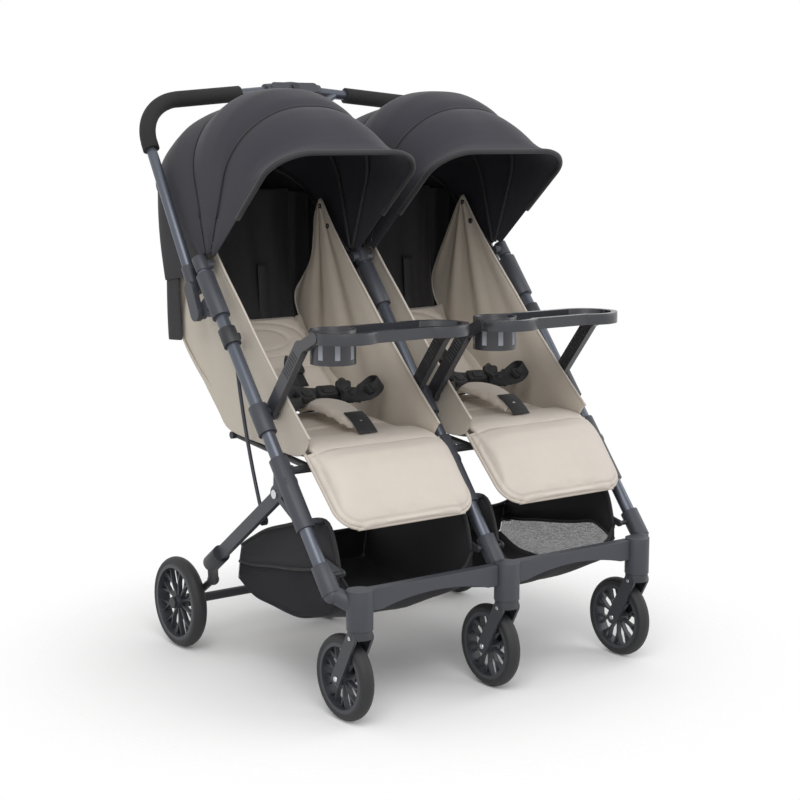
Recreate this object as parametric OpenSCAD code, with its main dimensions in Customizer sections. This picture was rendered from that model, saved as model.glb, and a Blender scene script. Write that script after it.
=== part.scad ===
// Side by side double stroller whose handle folds backward over the rear legs.
// Millimetres, +Z up, front towards -Y, origin on the floor under the middle of the box.

/* [Frame] */
// Room between a side wing and the middle of its front tube
frame_room = 34.5; // [34:0.5:36]
// Side casters inside the side frames
caster_inset = 37; // [34:1:40]
// Slope of the front tubes above the floor
lean = 51; // [50.5:0.5:51.5]
// Lower end of a front tube behind the caster line
foot_y = 44; // [42:1:46]
// Lower end of a front tube above the floor
foot_z = 250; // [248:1:252]
// Length of a front tube above its lower end
tube_length = 640; // [632:1:646]
// Outside radius of a front tube
tube_r = 12; // [11.5:0.1:12.2]
// Wall of a front tube
tube_wall = 1.6; // [1.2:0.1:2.5]
// Part of a front tube pushed into the caster housing
tube_plug = 20; // [16:1:24]
// Radius of the cap on a front tube
cap_r = 13; // [12.6:0.1:13.2]
// Length of the cap on a front tube
cap_length = 30; // [26:1:34]
// Radius of every boss that carries a canopy
canopy_boss_r = 9; // [8:0.5:10]
// Wall of the plastic collars and hubs around a front tube
collar_wall = 5; // [4:0.5:5.2]

/* [Fold] */
// Handle pivot below the top of the front tube
handle_below = 54; // [52:1:60]
// Handle pivot behind the front tube
handle_pivot_behind = 55; // [52:1:58]
// Leg pivot along the front tube
leg_pivot_along = 190; // [186:1:194]
// Leg pivot behind the front tube
leg_pivot_behind = 32; // [32:1:34]
// Radius of the pivot pins
pivot_r = 6; // [5:0.5:6.5]
// Thickness of a rear leg bar
leg_bar = 10.4; // [9:0.2:11]
// Half width of a rear leg bar
leg_bar_r = 12; // [10:1:13]
// Length of a rear leg bar
leg_bar_length = 300; // [294:1:306]
// Link pivot along the rear leg
link_foot = 120; // [116:1:124]
// Link slider below the top of the front tube
link_head_below = 145; // [142:1:148]
// Link pivot behind the front tube
link_head_behind = 31; // [30:1:33]
// How far a link bows rearward
link_bow = 10; // [6:1:14]
// Radius of a link rod
link_r = 3.5; // [3:0.1:4]
// Link plane inside the side frame
link_inset = 24; // [23.5:0.5:25]

/* [Handle] */
// Slope of the handle tubes above the floor
handle_slope = 58.2; // [57.5:0.1:59]
// Lower end of the handle tubes above the handle pivot
handle_foot_z = 43; // [41:1:45]
// Lower end of the handle tubes behind the handle pivot
handle_foot_y = 20.5; // [19:0.5:22]
// Radius of a handle tube
handle_r = 10; // [9:0.5:10.5]
// Handle tube outside its frame plane
handle_offset = 3.5; // [3:0.5:4]
// Straight side of the handle
handle_side = 312; // [306:1:316]
// Bend radius of the handle
handle_bend = 100; // [94:1:106]
// Rise of the crossbar towards the middle
handle_rise = 6; // [5:0.5:7]
// Outside radius of the foam grips
grip_r = 16; // [15:0.5:17]
// Lower end of a grip on the straight side
grip_foot = 298; // [292:1:302]
// Inner end of a grip from the middle
grip_inner = 128; // [124:1:132]
// Forked stay from the middle to where it meets the crossbar
stay_reach = 105; // [102:1:112]
// Radius of the forked arms of the middle stay
stay_r = 8.5; // [7:0.5:8.5]
// Fork of the middle stay below the crossbar
stay_drop = 65; // [60:1:72]

/* [Wheels] */
// Front wheel radius
front_wheel_r = 76; // [74:1:77]
// Front wheel width
front_wheel_w = 26; // [24:1:27]
// Front axle behind the caster line
caster_trail = 45; // [42:1:47]
// Rear wheel radius
rear_wheel_r = 89; // [86:1:91]
// Rear wheel width
rear_wheel_w = 28; // [26:1:29]
// Rear axle behind the caster line
rear_axle_y = 592; // [588:1:596]
// Side rear wheels inside the side frames
rear_wheel_inset = 16; // [14:1:18]
// Depth of a tyre
tyre_depth = 14; // [12:1:16]
// Radius of the wheel axles
axle_r = 5; // [4:0.5:6]
// Lower face of a caster housing
housing_low = 172; // [171:1:174]
// Upper face of a caster housing
housing_high = 240; // [236:1:244]
// Radius of a caster housing
housing_r = 23; // [21:1:25]
// Radius of a caster stem
stem_r = 8; // [7:0.5:9]

/* [Seats] */
// Half width between the side wings
seat_half = 138; // [130:1:150]
// Thickness of a side wing
wing_t = 6; // [4:1:6]
// Rear end of the seat rails behind the caster line
recline_y = 436; // [432:1:440]
// Rear end of the seat rails above the floor
recline_z = 440; // [438:1:442]
// Depth of the bucket behind the recline rod
back_depth = 200; // [190:1:210]
// Height of the backrest above the recline rod
back_height = 400; // [390:1:410]
// Length of a side wing
wing_length = 500; // [490:1:510]
// Height of a side wing above the recline rod
wing_height = 430; // [420:1:440]
// Front seat rod along the front tube
seat_rod_along = 215; // [213:1:217]
// Radius of the seat cross rods
seat_rod_r = 7; // [6.5:0.5:7.5]
// Thickness of a seat cushion
seat_pad_t = 32; // [28:1:34]
// Crown radius of the cushions across the seat
crown_r = 900; // [700:10:1200]
// Length of a calf rest below its hinge
calf_length = 151; // [140:1:156]
// Slope of a calf rest
calf_drop = 44; // [42:1:46]
// Thickness of a calf rest
calf_t = 16; // [14:1:18]

/* [Canopies] */
// Outer radius of the fixed rear panel
canopy_r = 318; // [314:1:322]
// Radius of the front hoop
visor_r = 304; // [300:1:306]
// Sides of the rear panel inside the middle of the front tubes
canopy_inset = 13.5; // [13.5:0.1:14]
// Wall of every panel
canopy_t = 2; // [1.6:0.1:2]
// Step between nested panels
canopy_step = 3; // [3:0.1:3.2]
// Corner radius of the rear panel
canopy_corner = 90; // [80:1:92]
// Growth of the corner radius from panel to panel
corner_step = 10; // [9:0.5:11]
// Front hoop above the level
visor_angle = 41; // [39:1:43]
// Main hoop above the level
hoop_angle = 72; // [71:1:73]
// Rear hoop above the level
rear_angle = 108; // [107:1:109]
// Lower end of the rear panel
tail_angle = 146; // [144:1:148]

/* [Trays] */
// Middle of a tray collar along the front tube
tray_along = 320; // [318:1:322]
// Tray pivot above the middle of its collar
drum_up = 16; // [14:1:17]
// Elbow of the posts behind the caster line
tray_elbow_y = 157; // [154:1:160]
// Elbow of the posts above the floor
tray_elbow_z = 634; // [631:1:637]
// Tray underside above the floor
tray_z = 645; // [643:1:647]
// Depth of the tray rim
tray_h = 20; // [18:1:22]
// Tray outside the inner faces of its posts
tray_over = 11; // [10:1:11]
// Front of the tray behind the caster line
tray_front_y = 62; // [58:1:66]
// Back of the tray behind the caster line
tray_back_y = 168; // [166:1:172]
// Radius of the front corners of the tray
tray_corner = 38; // [34:1:42]
// Radius of the back corners of the tray
tray_back_corner = 60; // [58:1:62]
// Width of the rim around the dish
tray_rim = 12; // [10:1:13]
// Inner radius of the cup holder
cup_r = 37; // [35:0.5:38]
// Depth of the cup holder
cup_depth = 56; // [52:1:58]
// Wall of the tray and cup holder
tray_wall = 3; // [2.5:0.1:3.5]

/* [Baskets] */
// Outer side of a basket inside the side frame
basket_inset = 39; // [37:1:41]
// Inner side of a basket from the middle
basket_in = 30; // [28:1:32]
// Wall of a basket
basket_wall = 4; // [3:0.5:5]

/* [Clearances] */
// Running clearance of every pin in its bore
running = 0.06; // [0.04:0.01:0.08]
// Side gap between parts that turn past each other
side_gap = 0.5; // [0.4:0.1:0.6]
// Gap of a piece that only rests on another
rest_gap = 0.05; // [0.02:0.01:0.1]

/* [Show] */
// Node to draw

/* [Hidden] */
$fn = 48;

silver = [0.72, 0.74, 0.78];
grey = [0.30, 0.31, 0.33];
dark = [0.13, 0.13, 0.14];
beige = [0.78, 0.68, 0.53];
black = [0.07, 0.07, 0.08];
foam = [0.10, 0.10, 0.10];

frames = [-1, 0, 1];
seats = [-1, 1];
frame_pitch = 2 * (seat_half + wing_t + frame_room);
seat_x = frame_pitch / 2;
caster_pitch = frame_pitch - caster_inset;
rear_wheel_x = frame_pitch - rear_wheel_inset;
basket_out = frame_pitch - basket_inset;
canopy_half = seat_x - canopy_inset;
tray_half = seat_half + wing_t + tray_wall;
tray_out = tray_half + tray_over;
handle_pivot_along = tube_length - handle_below;
link_head_along = tube_length - link_head_below;
collar_r = tube_r + collar_wall;
cut = 2 * tube_r;

// A place beside the front tube, as [y, z]
function leg(along, behind = 0) =
  [foot_y + along * cos(lean) + behind * sin(lean), foot_z + along * sin(lean) - behind * cos(lean)];
function at(x, place) = [x, place[0], place[1]];
// Points given from a pivot as shares of a size
function beside(pivot, shares, size) = [for (share = shares) pivot + [share[0] * size[0], share[1] * size[1]]];
// Which way a frame's outer face looks; the middle frame counts as a right one
function outward(side) = side == 0 ? 1 : side;
function inner_faces(side) = side == 0 ? [-1, 1] : [-side];

canopy_pivot = leg(tube_length + cap_length / 2);
handle_pivot = leg(handle_pivot_along, handle_pivot_behind);
leg_pivot = leg(leg_pivot_along, leg_pivot_behind);
rear_axle_place = [rear_axle_y, rear_wheel_r];
leg_run = rear_axle_place - leg_pivot;
leg_way = leg_run / norm(leg_run);
link_low = leg_pivot + link_foot * leg_way;
link_high = leg(link_head_along, link_head_behind);
tray_pivot = leg(tray_along + drum_up);
tray_elbow = [tray_elbow_y, tray_elbow_z];
calf_pivot = leg(seat_rod_along);
recline_pivot = [recline_y, recline_z];
handle_foot = handle_pivot + [handle_foot_y, handle_foot_z];
bend_turn = 90 - handle_rise;
bend_centre_x = frame_pitch + handle_offset - handle_bend;
bend_end = [bend_centre_x + handle_bend * cos(bend_turn), 0, handle_side + handle_bend * sin(bend_turn)];
crossbar_top = bend_end[2] + bend_end[0] * tan(handle_rise);
stay_fork = crossbar_top - stay_drop;
// Width, depth and height of the fold housing, and its middle above the crossbar
hump = [110, 34, 22];
hump_lift = -6;
handle_back_y = handle_foot[0] + (crossbar_top + hump_lift + hump[2] / 2) * cos(handle_slope)
  + hump[1] / 2 * sin(handle_slope);
middle_y = (handle_back_y + caster_trail - front_wheel_r) / 2;

// Shared shapes
module placed() {
  translate([0, -middle_y, 0]) children();
}

module rod(from, to, r) {
  way = to - from;
  span = norm(way);
  translate(from) rotate([0, acos(way[2] / span), atan2(way[1], way[0])]) cylinder(h = span, r = r);
}

module tube_rod(x, from, to, r) {
  rod(at(x, leg(from)), at(x, leg(to)), r);
}

module pin(x0, x1, place, r) {
  translate([min(x0, x1), place[0], place[1]]) rotate([0, 90, 0]) cylinder(h = abs(x1 - x0), r = r);
}

// Extrudes an outline drawn in [y, z] from x0 to x1
module slab(x0, x1) {
  translate([min(x0, x1), 0, 0]) rotate([90, 0, 90]) linear_extrude(abs(x1 - x0)) children();
}

// Bar with round ends, whose flanks lie a hair inside them
flank_in = 0.05;
module bar(from, to, r) {
  way = to - from;
  translate(from) circle(r);
  translate(to) circle(r);
  translate(from) rotate(atan2(way[1], way[0])) translate([0, flank_in - r])
    square([norm(way), 2 * (r - flank_in)]);
}

module rounded(width, height, r) {
  translate([-width / 2 + r, -height / 2]) square([width - 2 * r, height]);
  translate([-width / 2, -height / 2 + r]) square([width, height - 2 * r]);
  for (sx = [-1, 1], sy = [-1, 1]) translate([sx * (width / 2 - r), sy * (height / 2 - r)]) circle(r);
}

// Collar around a front tube
module collar(x, from, to) {
  tube_rod(x, from, to, collar_r);
}

module tube_space(x) {
  tube_rod(x, -tube_plug, tube_length + cap_length, tube_r);
}

// Front frames
module main_tubes() placed() color(silver) for (side = frames) difference() {
  tube_rod(side * frame_pitch, -tube_plug, tube_length, tube_r);
  tube_rod(side * frame_pitch, -tube_plug - cut, tube_length + cut, tube_r - tube_wall);
}

boss_reach = frame_pitch - seat_x - canopy_half + 3 * canopy_step;
module canopy_caps() placed() color(grey) for (side = frames) {
  x = side * frame_pitch;
  tube_rod(x, tube_length, tube_length + cap_length, cap_r);
  for (way = inner_faces(side)) pin(x, x + way * boss_reach, canopy_pivot, canopy_boss_r);
}

bracket_half = 46;
bracket_plate = 5;
module handle_brackets() placed() color(dark) for (side = frames) {
  x = side * frame_pitch;
  out = outward(side);
  difference() {
    union() {
      collar(x, handle_pivot_along - bracket_half, handle_pivot_along + bracket_half);
      slab(x - bracket_plate, x + bracket_plate) bar(leg(handle_pivot_along), handle_pivot, 2 * pivot_r);
      slab(x - bracket_plate, x + bracket_plate)
        bar(leg(handle_pivot_along - bracket_half + pivot_r), handle_pivot, pivot_r);
    }
    tube_space(x);
  }
  pin(x + out * bracket_plate, x + out * (bracket_plate + arm_t + side_gap), handle_pivot, pivot_r);
}

drum_r = 8;
drum_reach = 32;
collar_half = 28;
module tray_collars() placed() color(grey) for (side = frames) difference() {
  x = side * frame_pitch;
  union() {
    collar(x, tray_along - collar_half, tray_along + collar_half);
    for (way = inner_faces(side)) pin(x, x + way * drum_reach, tray_pivot, drum_r);
  }
  tube_space(x);
}

hub_low = 100;
hub_high = 240;
cheek_t = 6;
cheek_r = 15;
rod_boss_r = 10;
rod_boss = collar_r + 2;
hook_along = 112;
hook_r = 5;
module leg_hubs() placed() color(grey) for (side = frames) {
  x = side * frame_pitch;
  cheek_in = leg_bar / 2 + side_gap;
  difference() {
    union() {
      collar(x, hub_low, hub_high);
      for (way = [-1, 1]) slab(x + way * cheek_in, x + way * (cheek_in + cheek_t)) {
        bar(leg(leg_pivot_along), leg_pivot, cheek_r);
        bar(leg(hub_low + cheek_r), leg_pivot, cheek_t);
        bar(leg(hub_high - cheek_r), leg_pivot, cheek_t);
      }
      for (way = inner_faces(side)) {
        pin(x, x + way * rod_boss, calf_pivot, rod_boss_r);
        pin(x, side == 0 ? way * basket_in : side * basket_out, leg(hook_along), hook_r);
      }
    }
    tube_space(x);
  }
  pin(x - cheek_in, x + cheek_in, leg_pivot, pivot_r);
}

socket_top = 30;
arm_r = 15;
connector_z = 207;
stem_depth = 60;
module caster_housings() placed() color(grey) for (side = frames) difference() {
  x = side * frame_pitch;
  axis = [side * caster_pitch, 0, 0];
  union() {
    translate(axis + [0, 0, housing_low]) cylinder(h = housing_high - housing_low, r = housing_r);
    collar(x, -tube_plug - collar_wall, socket_top);
    rod(at(x, leg(-tube_plug)), axis + [0, 0, connector_z], arm_r);
    translate(at(x, leg(-tube_plug - collar_wall))) sphere(arm_r);
  }
  tube_space(x);
  translate(axis + [0, 0, housing_low - stem_r]) cylinder(h = stem_depth + stem_r, r = stem_r + running);
}

beam_low = 200;
beam_high = 238;
beam_front = -4;
beam_depth = 20;
beam_arch_inset = 44;
beam_arch_half = caster_pitch / 2 - beam_arch_inset;
beam_arch_rise = 15;
beam_arch_r = (pow(beam_arch_half, 2) + pow(beam_arch_rise, 2)) / (2 * beam_arch_rise);
module front_beams() placed() color(grey) for (side = seats) difference() {
  translate([0, beam_front + beam_depth, 0]) rotate([90, 0, 0]) linear_extrude(beam_depth) difference() {
    translate([min(0, side * caster_pitch), beam_low]) square([caster_pitch, beam_high - beam_low]);
    translate([side * caster_pitch / 2, beam_low + beam_arch_rise - beam_arch_r]) circle(beam_arch_r);
  }
  for (end = [0, side]) {
    translate([end * caster_pitch, 0, 0]) cylinder(h = housing_high, r = housing_r);
    rod(at(end * frame_pitch, leg(-tube_plug)), [end * caster_pitch, 0, connector_z], arm_r);
    collar(end * frame_pitch, -tube_plug - collar_wall, socket_top);
  }
}

rail_r = 6;
rail_inset = 18;
rod_inset = 6;
rail_half = seat_half - rail_inset;
recline_rod_half = seat_half - rod_inset;
module seat_frames() placed() color(dark) for (side = seats) {
  pin(side * rod_boss, side * (frame_pitch - rod_boss), calf_pivot, seat_rod_r);
  pin(side * seat_x - recline_rod_half, side * seat_x + recline_rod_half, recline_pivot, seat_rod_r);
  for (way = [-1, 1]) {
    x = side * seat_x + way * rail_half;
    rod(at(x, calf_pivot), at(x, recline_pivot), rail_r);
  }
}

bolt_r = 8;
bolt_t = 3;
drum_bolt_t = 2;
module frame_bolts() placed() color(silver) for (side = frames) {
  out = outward(side);
  hub_face = side * frame_pitch + out * (leg_bar / 2 + side_gap + cheek_t);
  pin(hub_face, hub_face + out * bolt_t, leg_pivot, bolt_r);
  for (way = inner_faces(side)) {
    drum_face = side * frame_pitch + way * drum_reach;
    pin(drum_face, drum_face + way * drum_bolt_t, tray_pivot, drum_r + drum_bolt_t / 2);
  }
}

strut_along = 10;
strut_low = leg(strut_along);
strut_run = [100, 22];
strut_r = 6;
strut_t = 5;
strut_pin_r = 4.5;
module basket_struts() placed() color(dark) for (side = frames) for (way = inner_faces(side)) difference() {
  x = side * frame_pitch;
  face = side == 0 ? way * basket_in : side * basket_out;
  union() {
    slab(face, face - way * strut_t) bar(strut_low, strut_low + strut_run, strut_r);
    pin(x, face - way * strut_t / 2, strut_low, strut_pin_r);
  }
  collar(x, -tube_plug - collar_wall, socket_top);
}

// Shopping baskets: open tubs whose floor rises over the casters
basket_front = 60;
basket_rear = 394;
basket_rear_lip = 238;
basket_floor = [[basket_front, 200], [128, 162], [200, 144], [386, 158]];
basket_brim = [[basket_rear, basket_rear_lip], [300, 288], [165, 330], [100, 342], [basket_front, 318]];
basket_room_top = foot_z + cut + basket_rear;
basket_room = concat([[basket_front + basket_wall, basket_room_top],
  basket_floor[0] + [basket_wall, basket_wall], basket_floor[1] + [0, basket_wall],
  basket_floor[2] + [0, basket_wall], basket_floor[3] + [-basket_wall, basket_wall],
  [basket_rear - basket_wall, basket_rear_lip], [basket_rear - basket_wall, basket_room_top]]);
module baskets() placed() color(black) for (side = seats) difference() {
  slab(side * basket_in, side * basket_out) polygon(concat(basket_floor, basket_brim));
  slab(side * (basket_in + basket_wall), side * (basket_out - basket_wall)) polygon(basket_room);
}

// Seats
rail_slope = (recline_pivot[1] - calf_pivot[1]) / (recline_pivot[0] - calf_pivot[0]);
function rail_top(y) =
  calf_pivot[1] + (y - calf_pivot[0]) * rail_slope + rail_r * sqrt(1 + pow(rail_slope, 2)) + rest_gap;
pad_front = 200;
pad_rear = 418;
pad_corner = 30;
pad_channel_r = 6;
crown_over = cut + crown_r * rail_slope;
pad_channel_shares = [0.36, 0.68];
module seat_pads() placed() color(beige) for (side = seats) translate([side * seat_x, 0, 0]) difference() {
  intersection() {
    slab(-seat_half, seat_half) polygon([[pad_front, rail_top(pad_front)], [pad_rear, rail_top(pad_rear)],
      [pad_rear, rail_top(pad_rear) + seat_pad_t], [pad_front, rail_top(pad_front) + seat_pad_t]]);
    translate([0, (pad_front + pad_rear) / 2, 0]) linear_extrude(2 * recline_z)
      rounded(2 * seat_half, pad_rear - pad_front, pad_corner);
    rod([0, pad_front - crown_over, rail_top(pad_front - crown_over) + seat_pad_t - crown_r],
      [0, pad_rear + crown_over, rail_top(pad_rear + crown_over) + seat_pad_t - crown_r], crown_r);
  }
  for (share = pad_channel_shares) {
    y = pad_front + share * (pad_rear - pad_front);
    pin(-seat_half - cut, seat_half + cut, [y, rail_top(y) + seat_pad_t + pad_channel_r / 3], pad_channel_r);
  }
}

// From the front along the upper edge to the apex, then down behind the deep seat back
wing_shares = [[-0.536, 0.014], [-0.572, 0.084], [-0.244, 0.423], [0.004, 0.721], [0.214, 0.995], [0.26, 0.879],
  [0.268, 0.767], [0.336, 0.637], [0.406, 0.549], [0.414, 0.493], [0.362, 0.416], [0.144, 0.179], [0.038, 0.067],
  [-0.022, 0.033], [-0.472, -0.009]];
wing_outline = beside(recline_pivot, wing_shares, [wing_length, wing_height]);
module side_wings(side) placed() color(beige) for (way = [-1, 1])
  slab(side * seat_x + way * seat_half, side * seat_x + way * (seat_half + wing_t)) polygon(wing_outline);
module side_wings_left() side_wings(-1);
module side_wings_right() side_wings(1);

strap_half = 12;
strap_t = 3;
strap_y = 290;
strap_rise = 44;
buckle = [46, 16, 40];
module crotch_straps() placed() color(black) for (side = seats) {
  foot = rail_top(strap_y + strap_t) + seat_pad_t + rest_gap;
  translate([side * seat_x - strap_half, strap_y, foot]) cube([2 * strap_half, strap_t, strap_rise]);
  translate([side * seat_x, strap_y + strap_t / 2, foot + strap_rise + buckle[2] / 2]) rotate([90, 0, 0])
    translate([0, 0, -buckle[1] / 2]) linear_extrude(buckle[1]) rounded(buckle[0], buckle[2], strap_half / 2);
}

// Backrests turn about the rear rod of the seat frame
back_inset = 4;
back_half = seat_half - back_inset;
back_size = [back_depth, back_height];
back_seam_shares = [[0.13, 0.085], [0.695, 0.33], [0.91, 0.48], [0.97, 0.7], [0.99, 1.105]];
back_rear_shares = [[1.07, 1.11], [1.06, 0.7], [1.03, 0.425], [0.77, 0.288], [0.21, 0.055]];
back_front_shares = [[0.9, 1.1], [0.88, 0.7], [0.82, 0.5], [0.62, 0.37], [0.04, 0.115]];
back_seam = beside(recline_pivot, back_seam_shares, back_size);
back_rear = beside(recline_pivot, back_rear_shares, back_size);
back_front = beside(recline_pivot, back_front_shares, back_size);
lug_inset = 38;
lug_place = seat_half - lug_inset;
lug_half = 7;
lug_r = 12;
module backrest_shell(side) placed() color(black) translate([side * seat_x, 0, 0]) difference() {
  union() {
    slab(-back_half, back_half) polygon(concat(back_seam, back_rear));
    for (way = [-1, 1]) slab(way * lug_place - lug_half, way * lug_place + lug_half)
      bar(recline_pivot, back_rear[4], lug_r);
  }
  pin(-seat_half, seat_half, recline_pivot, seat_rod_r + running);
}
module backrest_shell_left() backrest_shell(-1);
module backrest_shell_right() backrest_shell(1);

back_pad_half = back_half - back_inset;
module back_pad(side) placed() color(beige) translate([side * seat_x, 0, 0]) difference() {
  slab(-back_pad_half, back_pad_half) polygon(concat(back_seam, back_front));
  for (p = [back_front[2], back_front[3]])
    pin(-seat_half, seat_half, p + pad_channel_r / 3 * [-1, 1], pad_channel_r);
}
module back_pad_left() back_pad(-1);
module back_pad_right() back_pad(1);

shoulder_x = 50;
module shoulder_straps(side) placed() color(black) for (way = [-1, 1]) {
  x = side * seat_x + way * shoulder_x;
  slab(x - strap_half, x + strap_half) polygon([back_front[1], back_front[2], back_front[3],
    back_front[3] - [strap_t, 0], back_front[2] - [strap_t, 0], back_front[1] - [strap_t, 0]]);
}
module shoulder_straps_left() shoulder_straps(-1);
module shoulder_straps_right() shoulder_straps(1);

// Calf rests turn about the front rod of the seat frame
calf_inset = 3;
calf_half = seat_half - calf_inset;
calf_top = 17;
calf_lift = 28;
calf_corner = 45;
module calf_rest(side) placed() color(beige) translate(at(side * seat_x, calf_pivot)) difference() {
  rotate([calf_drop, 0, 0]) {
    translate([0, -calf_length, calf_lift]) linear_extrude(calf_t) {
      translate([-calf_half, calf_corner]) square([2 * calf_half, calf_top + calf_length - calf_corner]);
      translate([calf_corner - calf_half, 0]) square([2 * (calf_half - calf_corner), 2 * calf_corner]);
      for (way = [-1, 1]) translate([way * (calf_half - calf_corner), calf_corner])
        circle(calf_corner - flank_in);
    }
    for (way = [-1, 1]) slab(way * lug_place - lug_half, way * lug_place + lug_half)
      bar([0, 0], [-calf_top, calf_lift], lug_r);
  }
  pin(-seat_half, seat_half, [0, 0], seat_rod_r + running);
}
module calf_rest_left() calf_rest(-1);
module calf_rest_right() calf_rest(1);

// Canopy panels nest inside each other when they fold back
eye_r = 16;
module arch(radius, half, corner) {
  translate([0, -half]) square([radius - corner, 2 * half]);
  translate([0, corner - half]) square([radius, 2 * (half - corner)]);
  for (way = [-1, 1]) translate([radius - corner, way * (half - corner)]) circle(corner);
}

module canopy_panel(side, layer, radius, from, to) placed() color(black) {
  half = canopy_half - layer * canopy_step;
  corner = canopy_corner + layer * corner_step;
  translate(at(side * seat_x, canopy_pivot)) difference() {
    union() {
      rotate([0, 90, 0]) rotate([0, 0, -to - 90]) rotate_extrude(angle = to - from) difference() {
        arch(radius, half, corner);
        arch(radius - canopy_t, half - canopy_t, corner - canopy_t);
        translate([0, -half]) square([canopy_boss_r + canopy_t, 2 * half]);
      }
      for (way = [-1, 1]) pin(way * half, way * (half - canopy_t), [0, 0], eye_r);
    }
    pin(-half - canopy_t, half + canopy_t, [0, 0], canopy_boss_r + running);
  }
}
hem = 2;
module canopy_rear_left() canopy_panel(-1, 0, canopy_r, rear_angle - hem, tail_angle);
module canopy_rear_right() canopy_panel(1, 0, canopy_r, rear_angle - hem, tail_angle);
module canopy_hood_left() canopy_panel(-1, 1, canopy_r - canopy_step, hoop_angle - hem, rear_angle);
module canopy_hood_right() canopy_panel(1, 1, canopy_r - canopy_step, hoop_angle - hem, rear_angle);
module canopy_visor_left() canopy_panel(-1, 2, visor_r, visor_angle, hoop_angle);
module canopy_visor_right() canopy_panel(1, 2, visor_r, visor_angle, hoop_angle);

// Handle, drawn in its own sloping plane
module handle_plane() {
  translate(at(0, handle_foot)) rotate([handle_slope - 90, 0, 0]) children();
}

// The bends are drawn down a little, so the straight lengths lap over their ends
bend_thin = 0.3;
bend_lap = 3;
lap_end = bend_end + bend_lap * [cos(handle_rise), 0, -sin(handle_rise)];
peak_half = handle_bend * sin(handle_rise);
function on_crossbar(x) = [x, 0, crossbar_top - abs(x) * tan(handle_rise)];
module handle_run(r, from, inner) {
  for (side = seats) mirror([side < 0 ? 1 : 0, 0, 0]) {
    translate([frame_pitch + handle_offset, 0, from]) cylinder(h = handle_side + bend_lap - from, r = r);
    translate([bend_centre_x, 0, handle_side]) rotate([90, 0, 0]) rotate_extrude(angle = bend_turn)
      translate([handle_bend, 0]) circle(r - bend_thin);
    rod(lap_end, on_crossbar(inner), r);
  }
}

handle_plug = 5;
module handle_tube() placed() color(silver) handle_plane() {
  handle_run(handle_r, -handle_plug, peak_half - bend_lap);
  translate([0, 0, crossbar_top - handle_bend / cos(handle_rise)]) rotate([90, 0, 0]) rotate(bend_turn)
    rotate_extrude(angle = 2 * handle_rise) translate([handle_bend, 0]) circle(handle_r - bend_thin);
}

module stay_arms(r) {
  for (side = seats) rod([0, 0, stay_fork], on_crossbar(side * stay_reach), r);
}

module handle_stay() placed() color(silver) handle_plane() difference() {
  union() {
    translate([0, 0, -handle_plug]) cylinder(h = stay_fork + handle_plug, r = handle_r);
    translate([0, 0, stay_fork]) sphere(handle_r + 2 * bend_thin);
    stay_arms(stay_r);
  }
  for (side = seats)
    rod(on_crossbar(side * sleeve_half), on_crossbar(side * 2 * sleeve_half), handle_r + rest_gap);
}

module handle_grips() placed() color(foam) handle_plane() difference() {
  handle_run(grip_r, grip_foot, grip_inner);
  handle_run(handle_r, grip_foot - handle_r, grip_inner - handle_r);
}

sleeve_half = 64;
sleeve_r = 15;
button_r = 8;
button_out = 4;
button_deep = 6;
module fold_housing() placed() color(grey) handle_plane() difference() {
  union() {
    for (side = seats) rod(on_crossbar(0), on_crossbar(side * sleeve_half), sleeve_r);
    translate([0, hump[1] / 2, crossbar_top + hump_lift]) rotate([90, 0, 0]) linear_extrude(hump[1])
      rounded(hump[0], hump[2], button_r);
  }
  for (side = seats) rod(on_crossbar(0), on_crossbar(side * 2 * sleeve_half), handle_r);
  translate([0, 0, crossbar_top]) sphere(handle_r);
  stay_arms(stay_r + rest_gap);
  translate([0, -hump[1] / 2 - button_deep, crossbar_top + hump_lift]) rotate([-90, 0, 0])
    cylinder(h = 2 * button_deep, r = button_r + running);
}

module fold_button() placed() color(dark) handle_plane()
  translate([0, -hump[1] / 2 - button_out, crossbar_top + hump_lift]) rotate([-90, 0, 0])
    cylinder(h = button_out + side_gap, r = button_r);

arm_t = 11;
arm_end_r = 15;
socket_r = 12.5;
socket_length = 56;
module handle_arms() placed() color(grey) for (side = frames) difference() {
  out = outward(side);
  x = side * frame_pitch;
  near = x + out * (bracket_plate + side_gap);
  union() {
    slab(near, near + out * arm_t) bar(handle_pivot, handle_foot, arm_end_r);
    translate([x + side * handle_offset, 0, 0]) handle_plane()
      translate([0, 0, -2 * handle_plug]) cylinder(h = socket_length, r = socket_r);
  }
  pin(x - collar_r, x + collar_r, handle_pivot, pivot_r + running);
  translate([x + side * handle_offset, 0, 0]) handle_plane()
    translate([0, 0, -handle_plug]) cylinder(h = socket_length + cut, r = handle_r);
}

// Rear legs with their brackets, axle and brake
eye_bar_r = 14;
leg_tip = leg_pivot + (leg_bar_length - leg_bar_r) * leg_way;
link_pin_end = link_inset + link_r;
module rear_legs() placed() color(silver) for (side = frames) {
  x = side * frame_pitch;
  difference() {
    slab(x - leg_bar / 2, x + leg_bar / 2) {
      bar(leg_pivot, leg_tip, leg_bar_r);
      translate(leg_pivot) circle(eye_bar_r);
    }
    pin(x - leg_bar, x + leg_bar, leg_pivot, pivot_r + running);
  }
  if (side != 0) pin(x - side * leg_bar / 2, x - side * link_pin_end, link_low, link_r);
}

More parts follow.
